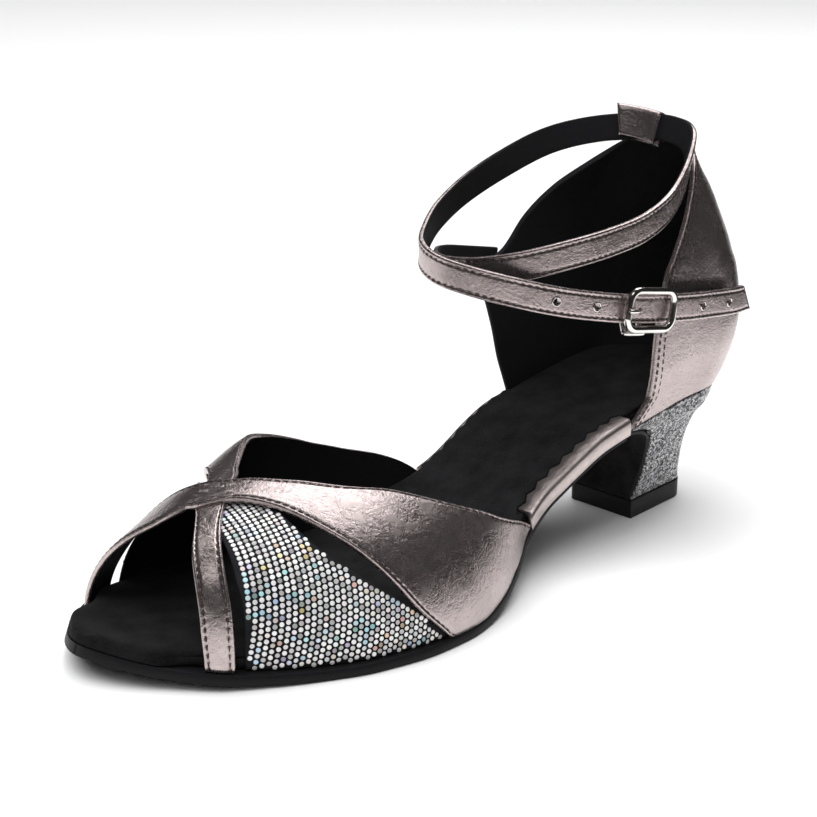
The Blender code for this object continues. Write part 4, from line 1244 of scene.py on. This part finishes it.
# Places between which the medial side shows neither the counter nor the vamp
def medialStops():
    rear = counterRows[2][4] * shoe["soleLength"] + clear
    return rear, underRows[-1][0] * shoe["soleLength"]


def makeSock():
    fine = waist["perTooth"]
    teeth = waistPlaces(fine)
    depth = toothDepth(fine, len(teeth))
    heelInset = shoe["edgeLedge"] + clear
    rear = stations(heelInset, teeth[0] - 0.5 * mm, 50, (True, False))
    tip = shoe["soleLength"] - shoe["toeLedge"] - clear
    front = stations(teeth[-1] + 0.5 * mm, tip, 110, (False, True))
    along = np.concatenate([rear, teeth, front])
    near = np.concatenate([
        np.full(len(rear), heelInset),
        shoe["edgeLedge"] + waist["flange"] + depth,
        softInset(front) + clear,
    ])
    rearStop, frontStop = medialStops()
    overhang = shoe["edgeLedge"] - clear - waist["wrap"] + waist["farStep"]
    overhang = overhang + depth / waist["tooth"] * waist["farTooth"]
    seen = (teeth > rearStop) & (teeth < frontStop)
    far = np.concatenate([
        np.full(len(rear), heelInset),
        np.where(seen, overhang, heelInset),
        softInset(front) + clear,
    ])
    middle, half = halfWidth(along, np.minimum(near, heelInset))
    left = middle - half + np.maximum(near - heelInset, 0.0)
    right = middle + half - (far - np.minimum(near, heelInset))
    share = (1.0 + np.sin(np.linspace(-pi / 2, pi / 2, 25))) / 2
    away = np.minimum(share, 1.0 - share)[None, :] * (right - left)[:, None]
    sink = (1.0 - roundEnd(away, footbedEdge["sockRound"])) * footbedEdge["sockSink"]
    y = left[:, None] + (right - left)[:, None] * share[None, :]
    floor = boardTop(along) + clear
    toeEnd = np.minimum(away, (along[-1] - along)[:, None])
    tuck = toeTuck(along)[:, None] * (1.0 - roundEnd(toeEnd, toe["tuckRound"])) * toe["sockTuck"]
    upper = place(along[:, None], y, (floor + shoe["sockThickness"])[:, None] - sink - tuck)
    lower = place(along[:, None], y, floor[:, None] - tuck)
    obj = slab("sockShown", upper, lower, [blackSuede("sockSuede")])
    keep(obj, "insole_sock")


def makeWrap(name, side, flange, rearStop, frontStop, node):
    fine = waist["perTooth"]
    along = waistPlaces(fine)
    depth = toothDepth(fine, len(along))
    chosen = (along > rearStop) & (along < frontStop)
    along, depth = along[chosen], depth[chosen]
    middle, half = halfWidth(along, 0.0)
    wallIn = half - shoe["edgeLedge"] + clear
    wallOut = wallIn + waist["wrap"] + waist["swell"]
    low = soleTop(along) - waist["cover"]
    shelf = boardTop(along) + clear
    top = shelf + shoe["sockThickness"] * 0.8
    if not flange:
        top = boardTop(along)
    bend = waist["bend"]
    section = [
        (wallIn, low),
        (wallOut - 0.15 * mm, low),
        (wallOut, low + 0.3 * mm),
        (wallOut + 0.12 * mm, (low + top) / 2),
    ]
    for turn in np.radians([0, 22, 45, 68, 90]):
        section.append((wallOut - bend + bend * cos(turn), top - bend + bend * sin(turn)))
    if not flange:
        section.append((wallIn, top))
    else:
        flangeIn = half - (shoe["edgeLedge"] + flange + depth) + clear
        section += [
            ((wallOut + flangeIn) / 2, top),
            (flangeIn + 0.2 * mm, top),
            (flangeIn, top - 0.2 * mm),
            (flangeIn, shelf),
            (wallIn, shelf),
        ]
    rings = np.stack([place(along, middle + side * y, z) for y, z in section], axis=1)
    # The paler foil colour is painted light, a lit copy of the strap leather.
    foil = foilLeather(name + "Foil", light=waist["foil"], hem=False, rough=0.3)
    obj = loft(name, rings, [foil])
    keep(obj, node)


def makeFootbed():
    makeBoard()
    makeSock()
    length = shoe["soleLength"]
    makeWrap("wrapLateral", -1, waist["flange"], 0.0, overRows[0][0] * length, "waist_wrap_lateral")
    makeWrap("wrapMedial", 1, 0.0, *medialStops(), "waist_wrap_medial")
    print("footbed")


# Counter. A stitch line is its distance from the front in mm and the row where it ends;
# a lump is its height, size and seed.
counter = {
    "height": 78.0 * mm,
    "wall": 2.1 * mm,
    "width": 53.0 * mm,
    "edgeRound": 0.8,
    "groove": 0.10 * mm,
    "grooveWidth": 0.45,
    "stitchLines": ((1.6, 148), (3.9, 146)),
    "stitchSink": 0.04 * mm,
    "binding": 1.2,
    "lumps": ((0.12 * mm, 14.0 * mm, 5.0), (0.03 * mm, 3.0 * mm, 15.0)),
}
# Share of the counter's height, its back as a share of the length, half width as a share of the
# width, and its front on the lateral and the medial side as shares of the length
counterRows = [
    (0.000, 0.001, 0.486, 0.2485, 0.2560),
    (0.040, -0.010, 0.489, 0.2300, 0.2600),
    (0.085, -0.020, 0.493, 0.2140, 0.2650),
    (0.180, -0.034, 0.505, 0.2110, 0.2750),
    (0.285, -0.039, 0.509, 0.2096, 0.2840),
    (0.389, -0.034, 0.509, 0.2050, 0.2960),
    (0.484, -0.025, 0.505, 0.1966, 0.3070),
    (0.541, -0.015, 0.500, 0.1900, 0.3060),
    (0.598, -0.007, 0.490, 0.1755, 0.2700),
    (0.702, 0.010, 0.460, 0.1500, 0.2400),
    (0.806, 0.026, 0.405, 0.1250, 0.1950),
    (0.882, 0.040, 0.345, 0.1040, 0.1430),
    (0.945, 0.048, 0.290, 0.0800, 0.1000),
    (1.000, 0.051, 0.250, 0.0640, 0.0700),
]
counterBack, counterHalf, counterLateral, counterMedial = columnsOf(counterRows)


def counterPoint(up, turn):
    back = counterBack(up) * shoe["soleLength"]
    front = np.where(turn > 0, counterMedial(up), counterLateral(up)) * shoe["soleLength"]
    half = counterHalf(up) * counter["width"]
    depth = shoe["heelRound"] * half / (counter["width"] / 2)
    along = back + (front - back) * (1.0 - np.cos(np.abs(turn) * pi / 2))
    across = half * roundEnd(along - back, depth)
    seat = soleTop(np.maximum(along, 0.0)) + clear
    height = seat + up * (shoe["seatHeight"] + counter["height"] - seat)
    return place(along, np.where(turn > 0, across, -across), height)


def counterNormal(up, turn):
    small = 0.004
    rise = counterPoint(np.minimum(up + small, 1.0), turn) - counterPoint(np.maximum(up - small, 0.0), turn)
    swing = counterPoint(up, np.minimum(turn + small, 1.0)) - counterPoint(up, np.maximum(turn - small, -1.0))
    normal = unit(np.cross(swing, rise))
    centre = place(0.12 * shoe["soleLength"], 0.0, 0.08)
    away = counterPoint(up, turn) - centre
    return normal * np.where((normal * away).sum(axis=-1) < 0, -1.0, 1.0)[..., None]


def counterGrid(rows, cols):
    ups = np.linspace(0.0, 1.0, rows)
    fine = np.linspace(-1.0, 1.0, cols)
    turns = np.sign(fine) * (1.0 - (1.0 - np.abs(fine)) ** 1.25)
    up, turn = np.meshgrid(ups, turns, indexing="ij")
    points = counterPoint(up, turn)
    along = np.linalg.norm(np.diff(points, axis=1), axis=2)
    run = np.concatenate([np.zeros((rows, 1)), np.cumsum(along, axis=1)], axis=1) / mm
    fromFront = np.minimum(run, run[:, -1:] - run)
    rise = np.linalg.norm(np.diff(points, axis=0), axis=2)
    climb = np.concatenate([np.zeros((1, cols)), np.cumsum(rise, axis=0)], axis=0) / mm
    fromTop = climb[-1:] - climb
    return up, turn, points, np.minimum(fromFront, fromTop), run


# A line up one front edge of the counter, at a distance in mm from that edge.
def counterPath(up, turn, run, distance, side, inset, first, last):
    path = []
    for i in range(first, last):
        wanted = distance if side < 0 else run[i, -1] - distance
        t = np.interp(wanted, run[i], turn[i])
        point = counterPoint(np.array([up[i, 0]]), np.array([t]))
        path.append((point - counterNormal(np.array([up[i, 0]]), np.array([t])) * inset)[0])
    return np.array(path)


def makeCounter():
    up, turn, points, edge, run = counterGrid(150, 201)
    normals = counterNormal(up, turn)
    drop = counter["wall"] * 0.45 * (1.0 - roundEnd(edge, counter["edgeRound"]))
    line = counter["stitchLines"][0][0]
    groove = counter["groove"] * np.exp(-(((edge - line) / counter["grooveWidth"]) ** 2))
    wrinkles = sum(height * wobble(points, size, seed) for height, size, seed in counter["lumps"])
    lean = np.clip(edge / 3.0, 0.0, 1.0)
    outer = points - normals * (drop + groove + counter["groove"] - wrinkles * lean)[..., None]
    inner = points - normals * (counter["wall"] - 0.25 * drop)[..., None]
    foil = foilLeather("counterFoil", pebble=1500.0, creasing=0.15, crease=120.0)
    obj = slab("counterShown", outer, inner, [foil, lining], edge)
    # Black binding along the top and the medial front; the first faces are the outer grid, row by row
    slots = np.zeros(len(obj.data.polygons), np.int32)
    obj.data.polygons.foreach_get("material_index", slots)
    rows, cols = edge.shape
    sheet = (rows - 1) * (cols - 1)
    slots[:sheet][((edge < counter["binding"]) & (turn > -0.9) & (up > 0.02))[:-1, :-1].reshape(-1)] = 1
    slots[2 * sheet:2 * sheet + 2 * cols + rows - 3] = 1
    obj.data.polygons.foreach_set("material_index", slots)
    keep(obj, "counter")
    paths = [
        counterPath(up, turn, run, distance, side, counter["stitchSink"], 1, last)
        for side in (-1, 1)
        for distance, last in counter["stitchLines"]
    ]
    stitches("counterStitches", paths)
    print("counter")


# Ankle strap, loop and buckle
ankle = {
    "width": 8.6 * mm,
    "thickness": 1.9 * mm,
    "steps": 520,
    "tailSlant": 6.5 * mm,
    "tailShare": 4 / 129,
    "hole": 2.2 * mm,
    "rim": 0.5 * mm,
    "stitchLine": 1.25 * mm,
    "groove": 0.08 * mm,
    "grooveWidth": 0.45 * mm,
    "cornerRound": 0.6 * mm,
    "lumps": 0.10 * mm,
}
# The strap's way: share of the sole's length, of the counter's width and of the full height
routeRows = [
    (0.268, 0.560, 0.6722),
    (0.300, 0.550, 0.6838),
    (0.345, 0.500, 0.7021),
    (0.385, 0.435, 0.7187),
    (0.425, 0.325, 0.7320),
    (0.455, 0.180, 0.7353),
    (0.465, 0.020, 0.7402),
    (0.456, -0.160, 0.7494),
    (0.428, -0.345, 0.7685),
    (0.380, -0.480, 0.7917),
    (0.315, -0.535, 0.8098),
    (0.250, -0.530, 0.8295),
    (0.187, -0.475, 0.8670),
    (0.132, -0.380, 0.9323),
    (0.092, -0.250, 0.9935),
    (0.074, -0.060, 1.0113),
    (0.086, 0.160, 1.0132),
    (0.128, 0.370, 1.0014),
    (0.182, 0.515, 0.9738),
    (0.250, 0.580, 0.9244),
    (0.325, 0.560, 0.8750),
    (0.390, 0.480, 0.8295),
    (0.440, 0.350, 0.7960),
    (0.480, 0.190, 0.7742),
    (0.496, 0.000, 0.7564),
    (0.484, -0.200, 0.7387),
    (0.450, -0.400, 0.7150),
    (0.400, -0.530, 0.6873),
    (0.340, -0.600, 0.6617),
    (0.290, -0.625, 0.6439),
    (0.235, -0.635, 0.6280),
    (0.180, -0.628, 0.6142),
    (0.125, -0.610, 0.6024),
    (0.075, -0.585, 0.5926),
    (0.042, -0.555, 0.5886),
]
# Share of the strap's way, and how far its top edge leans outward there in degrees
leanRows = [(0.00, 0.0), (0.26, 0.0), (0.38, 12.0), (0.45, 20.0), (0.53, 14.0), (0.62, 0.0), (1.00, 0.0)]
# Places of the holes, the buckle, the loop and the tab as shares of the strap's way
holePlaces = [0.7995, 0.8302, 0.9375, 0.9715]
bucklePlace = 0.876
loopPlace = 0.4415
tabPlaces = [0.858, 0.872, 0.886, 0.902, 0.918]


# Points, and unit vectors ahead, outward and upward, along the ankle strap.
def routeFrames():
    rows = np.array(routeRows)
    high = shoe["seatHeight"] + counter["height"]
    points = place(rows[:, 0] * shoe["soleLength"], rows[:, 1] * counter["width"], rows[:, 2] * high)
    line = spline(points, ankle["steps"])
    ahead = unit(np.gradient(line, axis=0))
    level = ahead.copy()
    level[:, 2] = 0.0
    level = unit(level)
    outward = np.stack([level[:, 1], -level[:, 0], np.zeros(len(level))], axis=1)
    axis = place(0.23 * shoe["soleLength"], 0.0, 0.0)
    outward = outward * np.where((outward * (line - axis)).sum(axis=1) < 0, -1.0, 1.0)[:, None]
    upward = unit(np.cross(ahead, outward))
    upward = upward * np.where(upward[:, 2] < 0, -1.0, 1.0)[:, None]
    lean = smoothColumn([r[0] for r in leanRows], [r[1] for r in leanRows])
    tilt = np.radians(lean(np.linspace(0.0, 1.0, len(line))))[:, None]
    out = outward * np.cos(tilt) - upward * np.sin(tilt)
    return line, ahead, out, upward * np.cos(tilt) + outward * np.sin(tilt)


def strapFrame(frames, share):
    i = share * (len(frames[0]) - 1)
    low = int(min(i, len(frames[0]) - 2))
    t = i - low
    point = frames[0][low] * (1 - t) + frames[0][low + 1] * t
    return [point, *(unit(f[low] * (1 - t) + f[low + 1] * t) for f in frames[1:])]


def makeAnkleStrap(frames):
    line, ahead, outward, upward = frames
    halfThick = ankle["thickness"] / 2
    halfWide = ankle["width"] / 2
    corner = ankle["cornerRound"]
    section = []
    for a, b in ((1, -1), (1, 1), (-1, 1), (-1, -1)):
        section += cornerPoints(a, b, halfThick, halfWide, corner)
    section = np.array(section)
    fill = np.linspace(-1.0, 1.0, 9)[1:-1] * (halfWide - corner)
    front = np.stack([np.full(len(fill), halfThick), fill], axis=1)
    rear = np.stack([np.full(len(fill), -halfThick), fill[::-1]], axis=1)
    order = len(section) // 4
    section = np.concatenate([section[:order], front, section[order:3 * order], rear, section[3 * order:]])
    off = halfWide - np.abs(section[:, 1]) - ankle["stitchLine"]
    groove = np.exp(-((off / ankle["grooveWidth"]) ** 2)) * ankle["groove"]
    section[:, 0] -= np.where(section[:, 0] > 0, groove, 0.0)
    count = len(line)
    fromEnd = np.linspace(1.0, 0.0, count)
    slant = np.clip(1.0 - fromEnd / ankle["tailShare"], 0.0, 1.0) * ankle["tailSlant"] / 2
    rings = (
        line[:, None, :]
        + outward[:, None, :] * section[None, :, 0:1]
        + upward[:, None, :] * section[None, :, 1:2]
        - ahead[:, None, :] * (slant[:, None] * section[None, :, 1] / halfWide)[..., None]
    )
    lump = wobble(rings, 6.0 * mm, 2.0) * ankle["lumps"]
    rings = rings + outward[:, None, :] * (lump * (section[None, :, 0] > 0))[..., None]
    nextPoint = np.roll(section, -1, axis=0)
    slots = ((section[:, 0] + nextPoint[:, 0]) / 2 < -halfThick * 0.2).astype(int)
    away = (halfWide - np.abs(section[:, 1])) / mm
    foil = foilLeather("ankleFoil", pebble=1500.0, creasing=0.7, light=(0.575, 0.488, 0.478))
    strap = loft("ankleStrapShown", rings, [foil, lining], slots, away)
    for share in holePlaces:
        drillHole(strap, frames, share)
    keep(strap, "ankle_strap")
    surface = outward * (halfThick - 0.02 * mm)
    edge = halfWide - ankle["stitchLine"]
    paths = [(line + surface + upward * edge * side)[4:count - 14] for side in (-1, 1)]
    stitches("ankleStitches", paths, pitch=2.1 * mm, stitch=1.45 * mm, thread=0.13 * mm)
    for i, share in enumerate(holePlaces):
        makeEyelet(frames, share, i)
    print("ankle strap")


# A quarter circle at one corner of the strap's section, in order round the section.
def cornerPoints(a, b, halfThick, halfWide, radius):
    start = {(1, -1): -90, (1, 1): 0, (-1, 1): 90, (-1, -1): 180}[(a, b)]
    points = []
    for step in range(5):
        turn = radians(start + step * 22.5)
        out = a * (halfThick - radius) + radius * cos(turn)
        points.append((out, b * (halfWide - radius) + radius * sin(turn)))
    return points


def drillHole(strap, frames, share):
    point, ahead, outward, upward = strapFrame(frames, share)
    turned = Matrix((ahead, upward, outward)).transposed().to_4x4()
    bpy.ops.mesh.primitive_cylinder_add(vertices=24, radius=ankle["hole"] / 2, depth=ankle["thickness"] * 3)
    drill = bpy.context.object
    drill.matrix_world = Matrix.Translation(Vector(point)) @ turned
    cut = strap.modifiers.new("hole", "BOOLEAN")
    cut.operation = "DIFFERENCE"
    cut.object = drill
    bpy.context.view_layer.update()
    made = bpy.data.meshes.new_from_object(strap.evaluated_get(bpy.context.evaluated_depsgraph_get()))
    strap.modifiers.remove(cut)
    strap.data = made
    bpy.data.objects.remove(drill, do_unlink=True)


def makeEyelet(frames, share, index):
    point, ahead, outward, upward = strapFrame(frames, share)
    ring = ankle["hole"] / 2 + ankle["rim"] / 2 - 0.1 * mm
    turns = np.linspace(0.0, 2 * pi, 28, endpoint=False)[:, None]
    centre = point + outward * (ankle["thickness"] / 2 + ankle["rim"] / 2 - 0.1 * mm)
    points = centre + (ahead * np.cos(turns) + upward * np.sin(turns)) * ring
    obj = tube(f"eyeletShown{index}", points, ankle["rim"] / 2, [nickel], cyclic=True, sides=10)
    keep(obj, f"strap_eyelet_{index}")


loop = {
    "width": 14.2 * mm,
    "leather": 1.3 * mm,
    "innerDrop": 9.4 * mm,
    "lean": 1.5 * mm,
    "bend": 1.1 * mm,
}


def makeLoop(frames):
    line, ahead, outward, upward = frames
    inner = ankle["thickness"] / 2 + clear
    top = ankle["width"] / 2 + clear * 2
    low = -ankle["width"] / 2 - clear
    mid = inner + loop["leather"] / 2
    high = top + loop["leather"] / 2
    bend = loop["bend"]
    centreLine = [(mid, low), (mid, (low + high) / 2), (mid, high - bend)]
    for turn in np.radians([22, 45, 68, 90]):
        centreLine.append((mid - bend + bend * cos(turn), high - bend + bend * sin(turn)))
    for turn in np.radians([90, 112, 135, 158, 180]):
        centreLine.append((-mid + bend + bend * cos(turn), high - bend + bend * sin(turn)))
    centreLine += [(-mid, top - loop["innerDrop"] / 2), (-mid, top - loop["innerDrop"])]
    centreLine = spline(centreLine, 40)
    tangent = unit(np.gradient(centreLine, axis=0))
    normal = np.stack([tangent[:, 1], -tangent[:, 0]], axis=1)
    run = np.linspace(0.0, 1.0, len(centreLine))
    half = loop["leather"] / 2 * (0.4 + 0.6 * roundEnd(np.minimum(run, 1 - run), 0.03))[:, None]
    section = np.concatenate([centreLine + normal * half, (centreLine - normal * half)[::-1]])
    step = np.linalg.norm(np.diff(line, axis=0), axis=1).sum() / (len(line) - 1)
    centre = loopPlace * (len(line) - 1)
    reach = loop["width"] / 2 / step
    chosen = np.arange(round(centre - reach), round(centre + reach) + 1)
    lean = np.linspace(-loop["lean"], loop["lean"], len(chosen))
    rings = (
        line[chosen][:, None, :]
        + outward[chosen][:, None, :] * section[None, :, 0:1]
        + upward[chosen][:, None, :] * (section[None, :, 1] + lean[:, None])[..., None]
    )
    foil = foilLeather("loopFoil", pebble=1500.0, creasing=0.9, hem=False)
    obj = loft("loopShown", rings, [foil])
    keep(obj, "back_loop")
    print("loop")


buckle = {
    "length": 21.8 * mm,
    "wire": 2.3 * mm,
    "prong": 1.3 * mm,
    "hook": 1.6 * mm,
    "hookLength": 7.0 * mm,
    "hookShare": 0.34,
    "corner": 3.6 * mm,
    "tab": 1.4 * mm,
    "tabWidth": 6.4 * mm,
}
# The prong from the strap's hole to the bar: share of half the buckle, share of its height over the frame
prongMarks = [(0.44, -0.10), (0.62, 0.30), (0.82, 0.88), (1.0, 1.0), (1.17, 0.88)]
# Half of the hook: share of its reach outward and of its reach down
hookMarks = [(-1.0, 0.2), (-1.0, 0.65), (-0.5, 0.95), (0.0, 1.0)]


def makeBuckle(frames):
    point, ahead, outward, upward = strapFrame(frames, bucklePlace)
    plane = outward * (ankle["thickness"] / 2 + clear + buckle["wire"] / 2)
    halfLong = (buckle["length"] - buckle["wire"]) / 2
    halfTall = ankle["width"] / 2 + clear + buckle["wire"] / 2
    corner = buckle["corner"]
    outline = []
    for sx, sy, start in ((1, 1, 0), (-1, 1, 90), (-1, -1, 180), (1, -1, 270)):
        for step in range(9):
            turn = radians(start + 11.25 * step)
            u = sx * (halfLong - corner) + corner * cos(turn)
            v = sy * (halfTall - corner) + corner * sin(turn)
            outline.append(point + plane + ahead * u + upward * v)
    ring = tube("buckleFrameShown", outline, buckle["wire"] / 2, [nickel], cyclic=True, sides=18)
    keep(ring, "buckle_frame")
    over = buckle["wire"] / 2 + clear + buckle["prong"] / 2
    prongLine = [point + plane - ahead * halfLong * u + outward * over * v for u, v in prongMarks]
    prongLine = spline(prongLine, 30)
    thin = buckle["prong"] / 2 * (0.4 + 0.6 * roundEnd(np.linspace(1.0, 0.0, 30), 0.16))
    prong = tube("prongShown", prongLine, thin, [nickel])
    keep(prong, "buckle_prong")
    behind = ankle["thickness"] / 2 + clear + buckle["hook"] / 2
    reach = halfTall + buckle["wire"] / 2 + buckle["hook"] / 4
    base = point - ahead * (halfLong * buckle["hookShare"])
    half = ahead * buckle["hookLength"] / 2
    side = [outward * (behind * o) - upward * (reach * u) for o, u in hookMarks]
    hook = [base - half + mark for mark in side] + [base + half + mark for mark in reversed(side)]
    wire = tube("hookShown", spline(hook, 60), buckle["hook"] / 2, [nickel])
    keep(wire, "buckle_hook")
    makeTab(frames, behind + buckle["hook"] / 2 + clear + buckle["tab"] / 2)
    print("buckle")


def makeTab(frames, behind):
    widest = max(row[2] for row in counterRows) * counter["width"]
    seam = widest + clear + buckle["tab"] / 2
    rings = []
    for share in np.linspace(tabPlaces[0], tabPlaces[-1], 26):
        point, ahead, outward, upward = strapFrame(frames, share)
        held = point - outward * behind
        t = np.clip((share - tabPlaces[0]) / (tabPlaces[2] - tabPlaces[0]), 0.0, 1.0)
        centre = np.array([held[0], held[1] + (-seam - held[1]) * t, held[2]])
        ring = []
        for a, b in ((1, -1), (1, 1), (-1, 1), (-1, -1)):
            for o, h in cornerPoints(a, b, buckle["tab"] / 2, buckle["tabWidth"] / 2, 0.4 * mm):
                ring.append(centre + np.array([0.0, -o, 0.0]) + upward * h)
        rings.append(ring)
    foil = foilLeather("tabFoil", hem=False)
    keep(loft("tabShown", rings, [foil]), "buckle_tab")


# Studio: white floor, soft light from above, and dark cards round the camera's side
studio = {
    "floorSize": 24.0,
    "floorColour": (0.90, 0.90, 0.90),
    "worldColour": (0.022, 0.022, 0.023),
    "backdropColour": (1.0, 1.0, 1.0),
    "sunStrength": 3.5,
    "sunAngle": 75.0,
    "sunTilt": (-10.0, -8.0, 0.0),
    "cardRadius": 0.34,
    "cardTurns": (10.0, -205.0),
    "cardHeight": 0.3,
    "cardSteps": 30,
    "aim": (-0.08, 0.0, 0.05),
    "camera": (-0.4230, -0.3435, 0.1979),
    "cameraTurn": (72.7465, -0.3820, -43.0555),
    "focal": 75.385,
}
# Panels of light: name, place, width, height, power, mirrored in the foil
softPanels = [
    ("backOverhead", (1.05, 0.52, 1.92), 1.7, 1.3, 25.0, True),
    ("frontTop", (-0.58, -0.60, 1.70), 0.6, 0.6, 2.6, True),
    ("frontFill", (-1.3, -1.5, 1.5), 1.2, 1.2, 12.0, False),
]


def makeStudio():
    half = studio["floorSize"] / 2
    corners = [(-half, -half, 0.0), (half, -half, 0.0), (half, half, 0.0), (-half, half, 0.0)]
    pale = plain("floorPale", studio["floorColour"], 0.35, 0.25)
    floor = meshObject("floor", corners, [[0, 1, 2, 3]], [pale])
    makeCards()
    world = bpy.data.worlds.new("studio")
    world.use_nodes = True
    tree = world.node_tree
    seen = addNode(tree, "ShaderNodeLightPath").outputs["Is Camera Ray"]
    colours = {6: (*studio["worldColour"], 1.0), 7: (*studio["backdropColour"], 1.0)}
    mixed = addNode(tree, "ShaderNodeMix", {0: seen, **colours}, data_type="RGBA")
    tree.links.new(mixed.outputs[2], tree.nodes["Background"].inputs["Color"])
    bpy.context.scene.world = world
    bpy.context.scene.view_settings.view_transform = "Standard"
    sun = bpy.data.lights.new("overhead", "SUN")
    sun.energy = studio["sunStrength"]
    sun.angle = radians(studio["sunAngle"])
    overhead = bpy.data.objects.new("overhead", sun)
    overhead.rotation_euler = [radians(turn) for turn in studio["sunTilt"]]
    overhead.visible_glossy = False
    bpy.context.scene.collection.objects.link(overhead)
    for name, where, wide, tall, power, mirrored in softPanels:
        lamp = bpy.data.lights.new(name, "AREA")
        lamp.shape = "RECTANGLE"
        lamp.size = wide
        lamp.size_y = tall
        lamp.energy = power
        box = bpy.data.objects.new(name, lamp)
        box.location = where
        aim = Vector(studio["aim"]) - Vector(where)
        box.rotation_euler = aim.to_track_quat("-Z", "Y").to_euler()
        box.visible_glossy = mirrored
        bpy.context.scene.collection.objects.link(box)


# Black cards round the front and the lateral side, for the foil alone to mirror.
def makeCards():
    count = studio["cardSteps"] + 1
    turns = np.radians(np.linspace(*studio["cardTurns"], count))
    reach = studio["cardRadius"]
    centre = studio["aim"][0]
    foot = np.stack([reach * np.cos(turns) + centre, reach * np.sin(turns), np.zeros(count)], axis=1)
    points = np.concatenate([foot, foot + np.array([0.0, 0.0, studio["cardHeight"]])])
    faces = [[i, i + 1, i + 1 + count, i + count] for i in range(count - 1)]
    cards = meshObject("darkCards", points, faces, [plain("cardBlack", (0.02, 0.02, 0.02), 0.9, 0.0)])
    cards.visible_camera = False
    cards.visible_diffuse = False
    cards.visible_shadow = False
    return cards


# The photograph's own viewpoint, worked out from the shoe's outline in it.
def makeCamera():
    data = bpy.data.cameras.new("photo")
    data.lens = studio["focal"]
    data.sensor_width = 36.0
    data.clip_start = 0.01
    data.clip_end = 100.0
    camera = bpy.data.objects.new("photo", data)
    turn = Euler([radians(angle) for angle in studio["cameraTurn"]])
    camera.matrix_world = Matrix.LocRotScale(Vector(studio["camera"]), turn, None)
    bpy.context.scene.collection.objects.link(camera)
    bpy.context.scene.camera = camera


makeOutsole()
makeHeel()
makeFootbed()
makePanels()
makeVamp()
makeCounter()
strapFrames = routeFrames()
makeAnkleStrap(strapFrames)
makeLoop(strapFrames)
makeBuckle(strapFrames)
makeStudio()
makeCamera()
